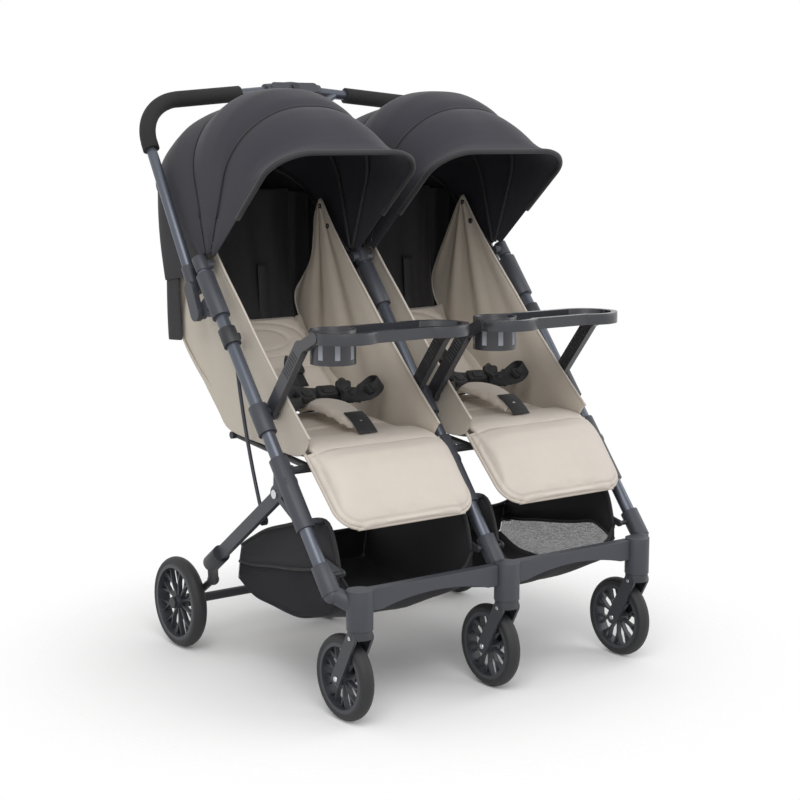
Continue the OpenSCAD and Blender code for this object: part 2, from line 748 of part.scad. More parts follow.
bracket_in = 23;
bracket_r = 10;
bracket_grip = 30;
bracket_knee = [500, 150];
bracket_lower_r = 7;
bracket_boss_half = 8;
knee_swell = 1.5;
bracket_boss_r = 13;
module wheel_brackets() placed() color(dark) for (side = frames) difference() {
  x = side * frame_pitch;
  out = outward(side);
  inner = side == 0 ? bracket_in : side * (rear_wheel_x - bracket_in);
  union() {
    rod(at(x, leg_tip - bracket_grip * leg_way), at(x, leg_tip + (leg_bar_r + bracket_plate) * leg_way),
      leg_bar_r + bracket_plate);
    rod(at(x, leg_tip + leg_bar_r * leg_way), at(inner, bracket_knee), bracket_r);
    translate(at(inner, bracket_knee)) sphere(bracket_r + knee_swell);
    rod(at(inner, bracket_knee), at(inner, rear_axle_place), bracket_lower_r);
    pin(inner - bracket_boss_half, inner + bracket_boss_half, rear_axle_place, bracket_boss_r);
  }
  slab(x - leg_bar / 2, x + leg_bar / 2) bar(leg_pivot, leg_tip, leg_bar_r);
  pin(inner - cut, inner + cut, rear_axle_place, axle_r);
}

axle_cap_r = 11;
axle_cap_t = 4;
sleeve_bar_r = 9;
module rear_axle() placed() color(dark) {
  wheel_out = rear_wheel_x + rear_wheel_w / 2 + side_gap;
  side_in = rear_wheel_x - bracket_in - bracket_boss_half;
  pin(-wheel_out, wheel_out, rear_axle_place, axle_r);
  for (side = seats) pin(side * wheel_out, side * (wheel_out + axle_cap_t), rear_axle_place, axle_cap_r);
  pin(-side_in, -rear_wheel_w / 2 - 2 * side_gap, rear_axle_place, sleeve_bar_r);
  pin(bracket_in + bracket_boss_half, side_in, rear_axle_place, sleeve_bar_r);
}

pedal_from = 130;
pedal_to = 200;
pedal_wall = 5;
pedal_length = 48;
module brake_pedal() placed() color(dark) difference() {
  slab(pedal_from, pedal_to) {
    translate(rear_axle_place) circle(sleeve_bar_r + pedal_wall);
    bar(rear_axle_place + [sleeve_bar_r, pedal_wall], rear_axle_place + [pedal_length, 2 * pedal_wall],
      pedal_wall);
  }
  pin(pedal_from - cut, pedal_to + cut, rear_axle_place, sleeve_bar_r + running);
}

link_eye_r = 9;
link_eye_half = 4.5;
link_way = link_high - link_low;
link_span = norm(link_way);
link_bend = (pow(link_span / 2, 2) + pow(link_bow, 2)) / (2 * link_bow);
link_turn = asin(link_span / 2 / link_bend);
link_across = [link_way[1], -link_way[0]] / link_span;
link_centre = (link_low + link_high) / 2 - (link_bend - link_bow) * link_across;
module link_rods() placed() color(silver) for (side = seats) difference() {
  x = side * (frame_pitch - link_inset);
  union() {
    translate(at(x, link_centre)) rotate([90, 0, 90]) rotate(atan2(link_across[1], link_across[0]) - link_turn)
      rotate_extrude(angle = 2 * link_turn) translate([link_bend, 0]) circle(link_r);
    for (end = [link_low, link_high]) pin(x - link_eye_half, x + link_eye_half, end, link_eye_r);
  }
  pin(x - link_eye_r, x + link_eye_r, link_low, link_r + running);
}

slider_half = 17;
slider_r = 16.5;
ear_r = 8;
module link_sliders() placed() color(dark) for (side = seats) difference() {
  x = side * frame_pitch;
  ear_in = x - side * (link_inset - link_eye_half - side_gap);
  union() {
    tube_rod(x, link_head_along - slider_half, link_head_along + slider_half, slider_r);
    slab(ear_in, ear_in + side * 2 * link_eye_half) bar(leg(link_head_along), link_high, ear_r);
  }
  tube_rod(x, 0, tube_length, tube_r + running);
}

// Wheels
module along_x(place) {
  translate(place) rotate([0, 90, 0]) children();
}

tyre_round_share = 0.62;
module tyre(place, radius, width) placed() color(dark) along_x(place) rotate_extrude() intersection() {
  translate([radius - tyre_depth, -width / 2]) square([tyre_depth, width]);
  translate([radius - width * tyre_round_share, 0]) circle(width * tyre_round_share);
}

spokes = 10;
rim_band = 7;
wheel_hub_r = 13;
spoke_w = 4;
spoke_t = 9;
spoke_split_share = 0.5;
spoke_spread = 9;
module rim(place, radius, width) placed() color(grey) along_x(place) difference() {
  rim_r = radius - tyre_depth;
  split = wheel_hub_r + spoke_split_share * (rim_r - rim_band - wheel_hub_r);
  union() {
    translate([0, 0, -width / 2]) linear_extrude(width) difference() {
      circle(rim_r);
      circle(rim_r - rim_band);
    }
    translate([0, 0, -width / 2]) cylinder(h = width, r = wheel_hub_r);
    translate([0, 0, -spoke_t / 2]) linear_extrude(spoke_t) for (i = [0 : spokes - 1]) rotate(i * 360 / spokes) {
      bar([0, 0], [split, 0], spoke_w / 2);
      for (way = [-1, 1])
        bar([split, 0], (rim_r - rim_band / 2) * [cos(way * spoke_spread), sin(way * spoke_spread)], spoke_w / 2);
    }
  }
  translate([0, 0, -width]) cylinder(h = 2 * width, r = axle_r + running);
}

rim_inset = 1;
function rear_place(side) = at(side * rear_wheel_x, rear_axle_place);
function front_place(side) = [side * caster_pitch, caster_trail, front_wheel_r];
module rear_tyre_left() tyre(rear_place(-1), rear_wheel_r, rear_wheel_w);
module rear_tyre_middle() tyre(rear_place(0), rear_wheel_r, rear_wheel_w);
module rear_tyre_right() tyre(rear_place(1), rear_wheel_r, rear_wheel_w);
module rear_rim_left() rim(rear_place(-1), rear_wheel_r, rear_wheel_w - rim_inset);
module rear_rim_middle() rim(rear_place(0), rear_wheel_r, rear_wheel_w - rim_inset);
module rear_rim_right() rim(rear_place(1), rear_wheel_r, rear_wheel_w - rim_inset);
module front_tyre_left() tyre(front_place(-1), front_wheel_r, front_wheel_w);
module front_tyre_middle() tyre(front_place(0), front_wheel_r, front_wheel_w);
module front_tyre_right() tyre(front_place(1), front_wheel_r, front_wheel_w);
module front_rim_left() rim(front_place(-1), front_wheel_r, front_wheel_w - rim_inset);
module front_rim_middle() rim(front_place(0), front_wheel_r, front_wheel_w - rim_inset);
module front_rim_right() rim(front_place(1), front_wheel_r, front_wheel_w - rim_inset);

// Caster forks swivel in their housings
blade_t = 5;
blade_gap = 2;
fork_crown_r = 21.5;
crown_h = 15;
blade_r = 13;
blade_top = 14;
stem_h = 56;
module caster_fork(side) placed() color(grey) translate([side * caster_pitch, 0, 0]) {
  blade_in = front_wheel_w / 2 + blade_gap;
  crown_top = housing_low - side_gap;
  axle = [caster_trail, front_wheel_r];
  translate([0, 0, crown_top - crown_h]) cylinder(h = crown_h, r = fork_crown_r);
  translate([0, 0, crown_top - crown_h / 2]) cylinder(h = crown_h / 2 + stem_h, r = stem_r);
  for (way = [-1, 1]) slab(way * blade_in, way * (blade_in + blade_t))
    bar([0, crown_top - blade_top], axle, blade_r);
  pin(-blade_in - blade_t / 2, blade_in + blade_t / 2, axle, axle_r);
}
module caster_fork_left() caster_fork(-1);
module caster_fork_middle() caster_fork(0);
module caster_fork_right() caster_fork(1);

// Trays with a cup holder on two posts
post_t = 13;
post_r = 13;
arm_tip = 48;
cup_slots = 8;
cup_lip = 1;
slot_w = 10;
slot_low = 6;
slot_deep = 1;
cup_x = 2 * tray_wall + cup_r - tray_half;
cup_y = tray_back_y - cup_r + cup_lip;
cup_low = tray_z + tray_h - cup_depth;
module tray_outline(inset) {
  half = tray_out - inset;
  from = tray_front_y + inset;
  to = tray_back_y - inset;
  front = tray_corner - inset;
  back = tray_back_corner - inset;
  translate([-half, from + front]) square([2 * half, to - back - from - front]);
  translate([front - half, from]) square([2 * (half - front), front + flank_in]);
  translate([back - half, to - back - flank_in]) square([2 * (half - back), back + flank_in]);
  for (way = [-1, 1]) {
    translate([way * (half - front), from + front]) circle(front - flank_in);
    translate([way * (half - back), to - back]) circle(back - flank_in);
  }
}

module tray_frame() {
  for (way = [-1, 1]) slab(way * tray_half, way * (tray_half + post_t)) {
    bar(tray_pivot, tray_elbow, post_r);
    bar(tray_elbow, [tray_front_y + arm_tip, tray_z + tray_h / 2], tray_h / 2 - flank_in);
    translate(tray_pivot) circle(post_r + tray_wall);
  }
  translate([0, 0, tray_z]) difference() {
    linear_extrude(tray_h) tray_outline(0);
    translate([0, 0, tray_wall]) linear_extrude(tray_h) tray_outline(tray_rim);
  }
  translate([cup_x, cup_y, cup_low - tray_wall])
    cylinder(h = cup_depth + tray_wall + cup_lip, r = cup_r + tray_wall);
}

module tray_body() {
  difference() {
    tray_frame();
    translate([cup_x, cup_y, cup_low]) {
      cylinder(h = cup_depth + tray_h, r = cup_r);
      for (i = [0 : cup_slots - 1]) rotate([0, 0, (i + 0.5) * 360 / cup_slots])
        translate([cup_r + tray_wall - slot_deep, -slot_w / 2, slot_low])
          cube([tray_wall, slot_w, cup_depth - tray_h - slot_low - tray_wall]);
    }
    pin(-2 * tray_half, 2 * tray_half, tray_pivot, drum_r + running);
    pin(-tray_half, -tray_half - tray_button_deep, tray_button_place, tray_button_r + running);
  }
}
tray_button_r = 6;
tray_button_deep = 6;
tray_button_out = 4;
tray_button_place = (tray_pivot + tray_elbow) / 2;
module tray(side) placed() color(grey) translate([side * seat_x, 0, 0]) tray_body();
module tray_left() tray(-1);
module tray_right() tray(1);

module tray_button(side) placed() color(dark) translate([side * seat_x, 0, 0])
  pin(-tray_half + tray_button_out, -tray_half - side_gap, tray_button_place, tray_button_r);
module tray_button_left() tray_button(-1);
module tray_button_right() tray_button(1);

main_tubes();
canopy_caps();
handle_brackets();
tray_collars();
leg_hubs();
caster_housings();
front_beams();
seat_frames();
frame_bolts();
basket_struts();
baskets();
seat_pads();
side_wings_left();
side_wings_right();
crotch_straps();
canopy_rear_left();
canopy_rear_right();
canopy_hood_left();
canopy_hood_right();
canopy_visor_left();
canopy_visor_right();
handle_tube();
handle_stay();
handle_grips();
fold_housing();
handle_arms();
fold_button();
rear_legs();
wheel_brackets();
rear_axle();
brake_pedal();
link_rods();
link_sliders();
rear_tyre_left();
rear_tyre_middle();
rear_tyre_right();
rear_rim_left();
rear_rim_middle();
rear_rim_right();
caster_fork_left();
caster_fork_middle();
caster_fork_right();
front_tyre_left();
front_tyre_middle();
front_tyre_right();
front_rim_left();
front_rim_middle();
front_rim_right();
backrest_shell_left();
backrest_shell_right();
back_pad_left();
back_pad_right();
shoulder_straps_left();
shoulder_straps_right();
calf_rest_left();
calf_rest_right();
tray_left();
tray_right();
tray_button_left();
tray_button_right();
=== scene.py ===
"""Side by side double stroller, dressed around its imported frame."""
import math

import bmesh
import bpy
import numpy as np
from mathutils import Matrix, Vector


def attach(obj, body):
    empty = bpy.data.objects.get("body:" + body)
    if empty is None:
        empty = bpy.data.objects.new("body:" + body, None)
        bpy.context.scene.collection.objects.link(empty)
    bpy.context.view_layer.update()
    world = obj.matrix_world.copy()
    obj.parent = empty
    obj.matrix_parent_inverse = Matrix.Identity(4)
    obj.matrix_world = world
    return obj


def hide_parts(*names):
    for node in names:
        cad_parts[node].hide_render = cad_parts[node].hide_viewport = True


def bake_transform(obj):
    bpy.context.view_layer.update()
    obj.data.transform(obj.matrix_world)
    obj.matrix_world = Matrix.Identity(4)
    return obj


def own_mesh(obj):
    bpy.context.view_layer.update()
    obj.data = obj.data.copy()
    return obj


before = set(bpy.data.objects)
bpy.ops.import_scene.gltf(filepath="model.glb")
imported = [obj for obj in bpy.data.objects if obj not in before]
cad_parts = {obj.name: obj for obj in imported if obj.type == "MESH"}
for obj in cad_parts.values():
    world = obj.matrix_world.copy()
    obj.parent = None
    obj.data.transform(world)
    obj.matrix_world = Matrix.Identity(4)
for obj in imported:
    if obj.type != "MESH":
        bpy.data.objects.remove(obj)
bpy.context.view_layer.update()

# The studio
# A plain pale floor that fades into a white room, one broad soft lamp and a weaker one, and the camera.
# Places are written in millimetres, x from the middle, y behind the casters and z above the floor.
scene = bpy.context.scene
scene.view_settings.view_transform = "Standard"
MIDDLE_Y = 346.966


def metres(points):
    """Places in millimetres, with y behind the casters, as metres in the frame."""
    return (np.asarray(points, float) - (0, MIDDLE_Y, 0)) / 1000


def at(x, y, z):
    return Vector(metres((x, y, z)))


eye = at(-1876.4, -2264.4, 992.6)
eye_back = Vector((-0.57952, -0.80015, 0.15463)).normalized()
eye_right = Vector((0.80989, -0.58658, 0)).normalized()
camera = bpy.data.objects.new("camera", bpy.data.cameras.new("camera"))
camera.data.sensor_width = 36
camera.data.lens = 75.86
eye_turn = Matrix((eye_right, eye_back.cross(eye_right), eye_back)).transposed()
camera.matrix_world = Matrix.Translation(eye) @ eye_turn.to_4x4()
scene.collection.objects.link(camera)
scene.camera = camera


def lamp(name, place, target, size, power):
    light = bpy.data.lights.new(name, "AREA")
    light.size = size
    light.energy = power
    holder = bpy.data.objects.new(name, light)
    holder.location = place
    holder.rotation_euler = (target - place).to_track_quat("-Z", "Y").to_euler()
    scene.collection.objects.link(holder)


seat_height = Vector((0, 0, 0.5))
lamp("key_lamp", Vector((-1.5, -2.2, 2.8)), seat_height, 2.4, 62)
lamp("fill_lamp", Vector((2.6, -1.2, 1.8)), seat_height, 2.0, 20)

room = bpy.data.worlds.new("white_room")
scene.world = room
room.use_nodes = True
room_nodes = room.node_tree.nodes
room_links = room.node_tree.links
room_light = room_nodes["Background"]
ray = room_nodes.new("ShaderNodeLightPath")
seen = ray.outputs["Is Camera Ray"]
for kind in ("Is Glossy Ray", "Is Transmission Ray"):
    either = room_nodes.new("ShaderNodeMath")
    either.operation = "MAXIMUM"
    room_links.new(seen, either.inputs[0])
    room_links.new(ray.outputs[kind], either.inputs[1])
    seen = either.outputs[0]
level = room_nodes.new("ShaderNodeMapRange")
level.inputs["To Min"].default_value = 0.62
level.inputs["To Max"].default_value = 1.0
room_links.new(seen, level.inputs["Value"])
room_links.new(level.outputs[0], room_light.inputs["Strength"])
room_light.inputs["Color"].default_value = (1, 1, 1, 1)

FLOOR_HALF = 6.0
floor_mesh = bpy.data.meshes.new("floor")
floor_corners = [(-FLOOR_HALF, -FLOOR_HALF, 0), (FLOOR_HALF, -FLOOR_HALF, 0), (FLOOR_HALF, FLOOR_HALF, 0),
                 (-FLOOR_HALF, FLOOR_HALF, 0)]
floor_mesh.from_pydata(floor_corners, [], [(0, 1, 2, 3)])
floor = bpy.data.objects.new("floor", floor_mesh)
scene.collection.objects.link(floor)
floor_paint = bpy.data.materials.new("pale_floor")
floor_paint.use_nodes = True
floor_nodes = floor_paint.node_tree.nodes
floor_links = floor_paint.node_tree.links
floor_nodes.remove(floor_nodes["Principled BSDF"])
matt = floor_nodes.new("ShaderNodeBsdfDiffuse")
matt.inputs["Color"].default_value = (0.98, 0.98, 0.98, 1)
clear = floor_nodes.new("ShaderNodeBsdfTransparent")
where = floor_nodes.new("ShaderNodeTexCoord")
away = floor_nodes.new("ShaderNodeVectorMath")
away.operation = "LENGTH"
fade = floor_nodes.new("ShaderNodeMapRange")
fade.interpolation_type = "SMOOTHSTEP"
fade.inputs["From Min"].default_value = 0.35
fade.inputs["From Max"].default_value = 0.85
fade_mix = floor_nodes.new("ShaderNodeMixShader")
floor_links.new(where.outputs["Object"], away.inputs[0])
floor_links.new(away.outputs["Value"], fade.inputs["Value"])
floor_links.new(fade.outputs[0], fade_mix.inputs[0])
floor_links.new(matt.outputs[0], fade_mix.inputs[1])
floor_links.new(clear.outputs[0], fade_mix.inputs[2])
floor_links.new(fade_mix.outputs[0], floor_nodes["Material Output"].inputs["Surface"])
floor_mesh.materials.append(floor_paint)

# Front frames
# Three slanting alloy tubes, gunmetal and satin, with the handle's tube and stay of the same stock.
# The curved link rods are darker. All are drawn to size in the frame and only take their finish here.
SIDES = {"left": -1, "right": 1}
WHEELS = {"left": -1, "middle": 0, "right": 1}
SEAT_X = 178.5


def effect_group(name, inputs):
    """A shader group that varies a colour and a roughness, and gives a height for bump."""
    tree = bpy.data.node_groups.new(name, "ShaderNodeTree")
    face = tree.interface
    face.new_socket("Colour", in_out="INPUT", socket_type="NodeSocketColor")
    for label, value in [("Roughness", 0.5), ("Mottle", 0.3), *inputs]:
        socket = face.new_socket(label, in_out="INPUT", socket_type="NodeSocketFloat")
        socket.default_value = value
    face.new_socket("Colour", in_out="OUTPUT", socket_type="NodeSocketColor")
    face.new_socket("Roughness", in_out="OUTPUT", socket_type="NodeSocketFloat")
    face.new_socket("Height", in_out="OUTPUT", socket_type="NodeSocketFloat")
    return tree, tree.nodes.new("NodeGroupInput"), tree.nodes.new("NodeGroupOutput")


def noise(tree, place, scale, detail):
    node = tree.nodes.new("ShaderNodeTexNoise")
    node.inputs["Detail"].default_value = detail
    tree.links.new(place, node.inputs["Vector"])
    if isinstance(scale, float):
        node.inputs["Scale"].default_value = scale
    else:
        tree.links.new(scale, node.inputs["Scale"])
    return node.outputs[0]


def calc(tree, operation, first, second):
    node = tree.nodes.new("ShaderNodeMath")
    node.operation = operation
    for socket, value in zip(node.inputs, (first, second)):
        if isinstance(value, (int, float)):
            socket.default_value = value
        else:
            tree.links.new(value, socket)
    return node.outputs[0]


def mixed(tree, first, share, second):
    """Two values in shares that add up to one."""
    return calc(tree, "ADD", calc(tree, "MULTIPLY", first, share), calc(tree, "MULTIPLY", second, 1 - share))


def vary(tree, source, shade, result):
    """Colour and roughness drift by a shade between 0 and 1, as far as the mottle says."""
    drift = calc(tree, "MULTIPLY", calc(tree, "SUBTRACT", shade, 0.5), source.outputs["Mottle"])
    tint = tree.nodes.new("ShaderNodeVectorMath")
    tint.operation = "SCALE"
    tree.links.new(source.outputs["Colour"], tint.inputs[0])
    tree.links.new(calc(tree, "ADD", drift, 1.0), tint.inputs["Scale"])
    tree.links.new(tint.outputs[0], result.inputs["Colour"])
    rough = calc(tree, "ADD", source.outputs["Roughness"], calc(tree, "MULTIPLY", drift, 0.5))
    tree.links.new(rough, result.inputs["Roughness"])


def fine_grain_group():
    """Moulded, painted or foamed surfaces: a fine even grain and a slow drift of shade."""
    tree, source, result = effect_group("fine_grain", [("Grain", 900.0)])
    place = tree.nodes.new("ShaderNodeTexCoord").outputs["Object"]
    grain = noise(tree, place, source.outputs["Grain"], 2.0)
    slow = noise(tree, place, 14.0, 3.0)
    vary(tree, source, mixed(tree, grain, 0.4, slow), result)
    tree.links.new(grain, result.inputs["Height"])
    return tree


fine_grain = fine_grain_group()


def finish_of(name, effect, colour, roughness, bump, depth=0.0005, metallic=0.0, sheen=0.0, coat=0.0,
              **values):
    """A material whose colour, roughness and bump all come through one effect group."""
    material = bpy.data.materials.new(name)
    material.use_nodes = True
    tree = material.node_tree
    shader = tree.nodes["Principled BSDF"]
    node = tree.nodes.new("ShaderNodeGroup")
    node.node_tree = effect
    node.inputs["Colour"].default_value = (*colour, 1)
    node.inputs["Roughness"].default_value = roughness
    for label, value in values.items():
        node.inputs[label].default_value = value
    tree.links.new(node.outputs["Colour"], shader.inputs["Base Color"])
    tree.links.new(node.outputs["Roughness"], shader.inputs["Roughness"])
    relief = tree.nodes.new("ShaderNodeBump")
    relief.inputs["Strength"].default_value = bump
    relief.inputs["Distance"].default_value = depth
    tree.links.new(node.outputs["Height"], relief.inputs["Height"])
    tree.links.new(relief.outputs["Normal"], shader.inputs["Normal"])
    shader.inputs["Metallic"].default_value = metallic
    shader.inputs["Sheen Weight"].default_value = sheen
    shader.inputs["Sheen Roughness"].default_value = 0.4
    shader.inputs["Coat Weight"].default_value = coat
    return material


def dress(names, material, edge=0.0008):
    """Gives nodes of the frame a material and softens their edges."""
    for name in names:
        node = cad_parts[name]
        node.data.materials.clear()
        node.data.materials.append(material)
        weld = node.modifiers.new("weld", "WELD")
        weld.merge_threshold = 0.00002
        soften = node.modifiers.new("edge", "BEVEL")
        soften.width = edge
        soften.segments = 2
        soften.limit_method = "ANGLE"
        soften.angle_limit = math.radians(35)


gunmetal = finish_of("gunmetal_tube", fine_grain, (0.105, 0.116, 0.142), 0.34, 0.1, metallic=0.55,
                     Mottle=0.12, Grain=500.0)
dress(["main_tubes", "handle_tube", "handle_stay"], gunmetal)
link_finish = finish_of("dark_link_rod", fine_grain, (0.05, 0.055, 0.068), 0.3, 0.1, metallic=0.5,
                        Mottle=0.12)
dress(["link_rods"], link_finish)

# Mouldings on the frame
# Caps, collars, hubs, housings, beams, handle arms and legs in slate grey plastic with a fine moulded grain.
# Seat frames, struts, the axle, sliders and buttons are black; the hub and drum bolts are bright steel.
slate = finish_of("slate_moulding", fine_grain, (0.046, 0.049, 0.060), 0.48, 0.25, Mottle=0.2)
black_moulding = finish_of("black_moulding", fine_grain, (0.020, 0.021, 0.025), 0.5, 0.25, Mottle=0.25)
bright_steel = finish_of("bright_steel", fine_grain, (0.62, 0.63, 0.65), 0.28, 0.1, metallic=1.0, Mottle=0.1)
dress(["canopy_caps", "tray_collars", "leg_hubs", "caster_housings", "front_beams", "fold_housing",
       "handle_arms", "rear_legs", "handle_brackets"], slate, 0.0015)
dress(["seat_frames", "basket_struts", "fold_button", "wheel_brackets", "rear_axle", "brake_pedal",
       "link_sliders", "tray_button_left", "tray_button_right"], black_moulding)
dress(["frame_bolts"], bright_steel, 0.0006)

# Wheels
# Solid tyres of smooth dark rubber on rims with ten forked spokes, in forks that swivel at the front.
# The rims and forks are satin plastic, and a bright screw closes each fork's crown and axle.
rubber = finish_of("tyre_rubber", fine_grain, (0.016, 0.016, 0.018), 0.62, 0.35, Mottle=0.3, Grain=420.0)
wheel_plastic = finish_of("wheel_plastic", fine_grain, (0.034, 0.036, 0.044), 0.42, 0.2, Mottle=0.2)
for wheel in WHEELS:
    dress(["front_tyre_" + wheel, "rear_tyre_" + wheel], rubber)
    dress(["front_rim_" + wheel, "rear_rim_" + wheel, "caster_fork_" + wheel], wheel_plastic, 0.001)


def piece(name, points, faces, material, body=None):
    """A mesh piece from places in millimetres."""
    mesh = bpy.data.meshes.new(name)
    mesh.from_pydata([tuple(p) for p in metres(points)], [], faces)
    tidy = bmesh.new()
    tidy.from_mesh(mesh)
    bmesh.ops.recalc_face_normals(tidy, faces=tidy.faces)
    tidy.to_mesh(mesh)
    tidy.free()
    mesh.materials.append(material)
    mesh.shade_smooth()
    made = bpy.data.objects.new(name, mesh)
    scene.collection.objects.link(made)
    if body:
        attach(made, body)
    return made


def grid_faces(rows, columns, around=False):
    """Faces of a grid of points, whose columns may close on themselves."""
    last = columns if around else columns - 1
    return [(r * columns + c, r * columns + (c + 1) % columns, (r + 1) * columns + (c + 1) % columns,
             (r + 1) * columns + c) for r in range(rows - 1) for c in range(last)]


def closed_faces(rows, columns):
    """Faces of rings of points, one after the other, with a cap on the first and the last."""
    caps = [tuple(range(columns))[::-1], tuple(range((rows - 1) * columns, rows * columns))]
    return grid_faces(rows, columns, around=True) + caps


def frames_along(path):
    """A direction and two square directions at each point of a path, carried along without twist."""
    path = np.asarray(path, float)
    ways = np.gradient(path, axis=0)
    ways /= np.linalg.norm(ways, axis=1)[:, None]
    start = np.cross(ways[0], (0.13, 0.29, 0.95))
    if np.linalg.norm(start) < 0.1:
        start = np.cross(ways[0], (1, 0, 0))
    sides = [start / np.linalg.norm(start)]
    for way in ways[1:]:
        side = sides[-1] - way * (sides[-1] @ way)
        sides.append(side / np.linalg.norm(side))
    sides = np.array(sides)
    return ways, sides, np.cross(ways, sides)


def tube_mesh(path, radius, sides=8):
    """Points and faces of a round tube along a path."""
    path = np.asarray(path, float)
    radii = np.broadcast_to(radius, len(path))
    across, over = frames_along(path)[1:]
    angles = np.linspace(0, 2 * math.pi, sides, endpoint=False)
    ring = np.cos(angles)[None, :, None] * across[:, None] + np.sin(angles)[None, :, None] * over[:, None]
    points = (path[:, None] + radii[:, None, None] * ring).reshape(-1, 3)
    return points, closed_faces(len(path), sides)


def join_meshes(parts):
    """One list of points and faces from several."""
    points, faces = [], []
    for some_points, some_faces in parts:
        faces += [tuple(i + len(points) for i in face) for face in some_faces]
        points += [tuple(p) for p in some_points]
    return points, faces


def smooth_line(points, count):
    """A smooth line through points, evenly spaced."""
    points = np.asarray(points, float)
    ends = np.vstack([2 * points[0] - points[1], points, 2 * points[-1] - points[-2]])
    line = []
    for a, b, c, d in zip(ends, ends[1:], ends[2:], ends[3:]):
        for t in np.linspace(0, 1, 16, endpoint=False):
            line.append(0.5 * (2 * b + (c - a) * t + (2 * a - 5 * b + 4 * c - d) * t * t
                               + (3 * b - a - 3 * c + d) * t ** 3))
    line = np.array(line + [points[-1]])
    run = np.concatenate([[0], np.cumsum(np.linalg.norm(np.diff(line, axis=0), axis=1))])
    return np.array([np.interp(np.linspace(0, run[-1], count), run, axis) for axis in line.T]).T


SCREW_SIDES = 16


def screw_head(place, way, radius):
    """A domed screw head with a round recess, standing out of a face."""
    way = np.asarray(way, float) / np.linalg.norm(way)
    rows = [(0.0, 0.12), (0.3, 0.12), (0.36, 0.46), (0.62, 0.44), (0.9, 0.3), (1.0, 0.0), (1.0, -0.3)]
    path = [np.asarray(place, float) + way * radius * out for _, out in rows]
    helper = np.cross(way, (0.3, 0.5, 0.81))
    across = helper / np.linalg.norm(helper)
    over = np.cross(way, across)
    angles = np.linspace(0, 2 * math.pi, SCREW_SIDES, endpoint=False)
    points = [centre + radius * max(share, 0.02) * (across * math.cos(a) + over * math.sin(a))
              for (share, _), centre in zip(rows, path) for a in angles]
    faces = grid_faces(len(rows), SCREW_SIDES, around=True)
    faces.append(tuple(range(SCREW_SIDES)))
    return points, faces


FRONT_X = 320
FORK_FACE = 20.2
FORK_CROWN = (2, 158)
FRONT_AXLE = (45, 76)
for wheel, side in WHEELS.items():
    crown = screw_head((side * FRONT_X - FORK_FACE, *FORK_CROWN), (-1, 0, 0), 4)
    axle = screw_head((side * FRONT_X - FORK_FACE, *FRONT_AXLE), (-1, 0, 0), 5)
    far_axle = screw_head((side * FRONT_X + FORK_FACE, *FRONT_AXLE), (1, 0, 0), 5)
    piece("fork_screws_" + wheel, *join_meshes([crown, axle, far_axle]), bright_steel, "caster_" + wheel)

# Handle
# One bent tube carries two long foam grips and a grey fold housing with its button in the middle.
# The foam is matt and slightly mottled.
foam = finish_of("grip_foam", fine_grain, (0.013, 0.013, 0.013), 0.85, 0.6, depth=0.001, Mottle=0.4,
                 Grain=700.0)
dress(["handle_grips"], foam, 0.004)

# Shopping baskets
# Black cloth tubs slung between the frames, with a bound brim and a floor that sags.
# The lower half of each outer wall is a dark net that lets light through.


def cloth_weave_group():
    """Woven cloth: crossing threads, a slow drift of shade and faint slubs."""
    tree, source, result = effect_group("cloth_weave", [("Threads", 3000.0)])
    place = tree.nodes.new("ShaderNodeTexCoord").outputs["Object"]
    apart = tree.nodes.new("ShaderNodeSeparateXYZ")
    tree.links.new(place, apart.inputs[0])
    rise = calc(tree, "ADD", apart.outputs[2], calc(tree, "MULTIPLY", apart.outputs[1], 0.7))
    warp = calc(tree, "SINE", calc(tree, "MULTIPLY", apart.outputs[0], source.outputs["Threads"]), 0)
    weft = calc(tree, "SINE", calc(tree, "MULTIPLY", rise, source.outputs["Threads"]), 0)
    threads = calc(tree, "MULTIPLY", warp, weft)
    slow = noise(tree, place, 9.0, 4.0)
    slub = noise(tree, place, 260.0, 2.0)
    vary(tree, source, mixed(tree, slub, 0.5, slow), result)
    tree.links.new(calc(tree, "ADD", calc(tree, "MULTIPLY", threads, 0.3), slub), result.inputs["Height"])
    return tree


cloth_weave = cloth_weave_group()
basket_cloth = finish_of("basket_cloth", cloth_weave, (0.0125, 0.012, 0.015), 0.85, 0.3, sheen=0.03,
                         Mottle=0.35)
binding = finish_of("black_binding", cloth_weave, (0.013, 0.013, 0.015), 0.75, 0.3, sheen=0.1, Mottle=0.3)


def net_finish():
    """A dark net: the threads show and the gaps between them let light through."""
    material = finish_of("dark_net", cloth_weave, (0.05, 0.048, 0.054), 0.9, 0.3, Mottle=0.3)
    tree = material.node_tree
    place = tree.nodes.new("ShaderNodeTexCoord").outputs["Object"]
    gaps = tree.nodes.new("ShaderNodeTexVoronoi")
    gaps.feature = "DISTANCE_TO_EDGE"
    gaps.inputs["Scale"].default_value = 800
    tree.links.new(place, gaps.inputs["Vector"])
    thread = calc(tree, "LESS_THAN", gaps.outputs["Distance"], 0.14)
    cover = calc(tree, "ADD", calc(tree, "MULTIPLY", thread, 0.5), 0.25)
    shader = tree.nodes["Principled BSDF"]
    shader.inputs["Specular IOR Level"].default_value = 0.1
    tree.links.new(cover, shader.inputs["Alpha"])
    return material


net = net_finish()


def solid(made, thickness, smooth=1):
    """Gives a sheet its thickness, and subdivides it."""
    skin = made.modifiers.new("thickness", "SOLIDIFY")
    skin.thickness = thickness / 1000
    skin.offset = 0
    if smooth:
        made.modifiers.new("smooth", "SUBSURF").levels = smooth
        made.modifiers["smooth"].render_levels = smooth


def applied(made):
    """Makes a piece's modifiers part of its mesh."""
    bpy.context.view_layer.update()
    shape = made.evaluated_get(bpy.context.evaluated_depsgraph_get())
    mesh = bpy.data.meshes.new_from_object(shape)
    made.modifiers.clear()
    made.data = mesh
    return made


def cloth_area(made):
    return round(sum(face.area for face in made.data.polygons), 4)


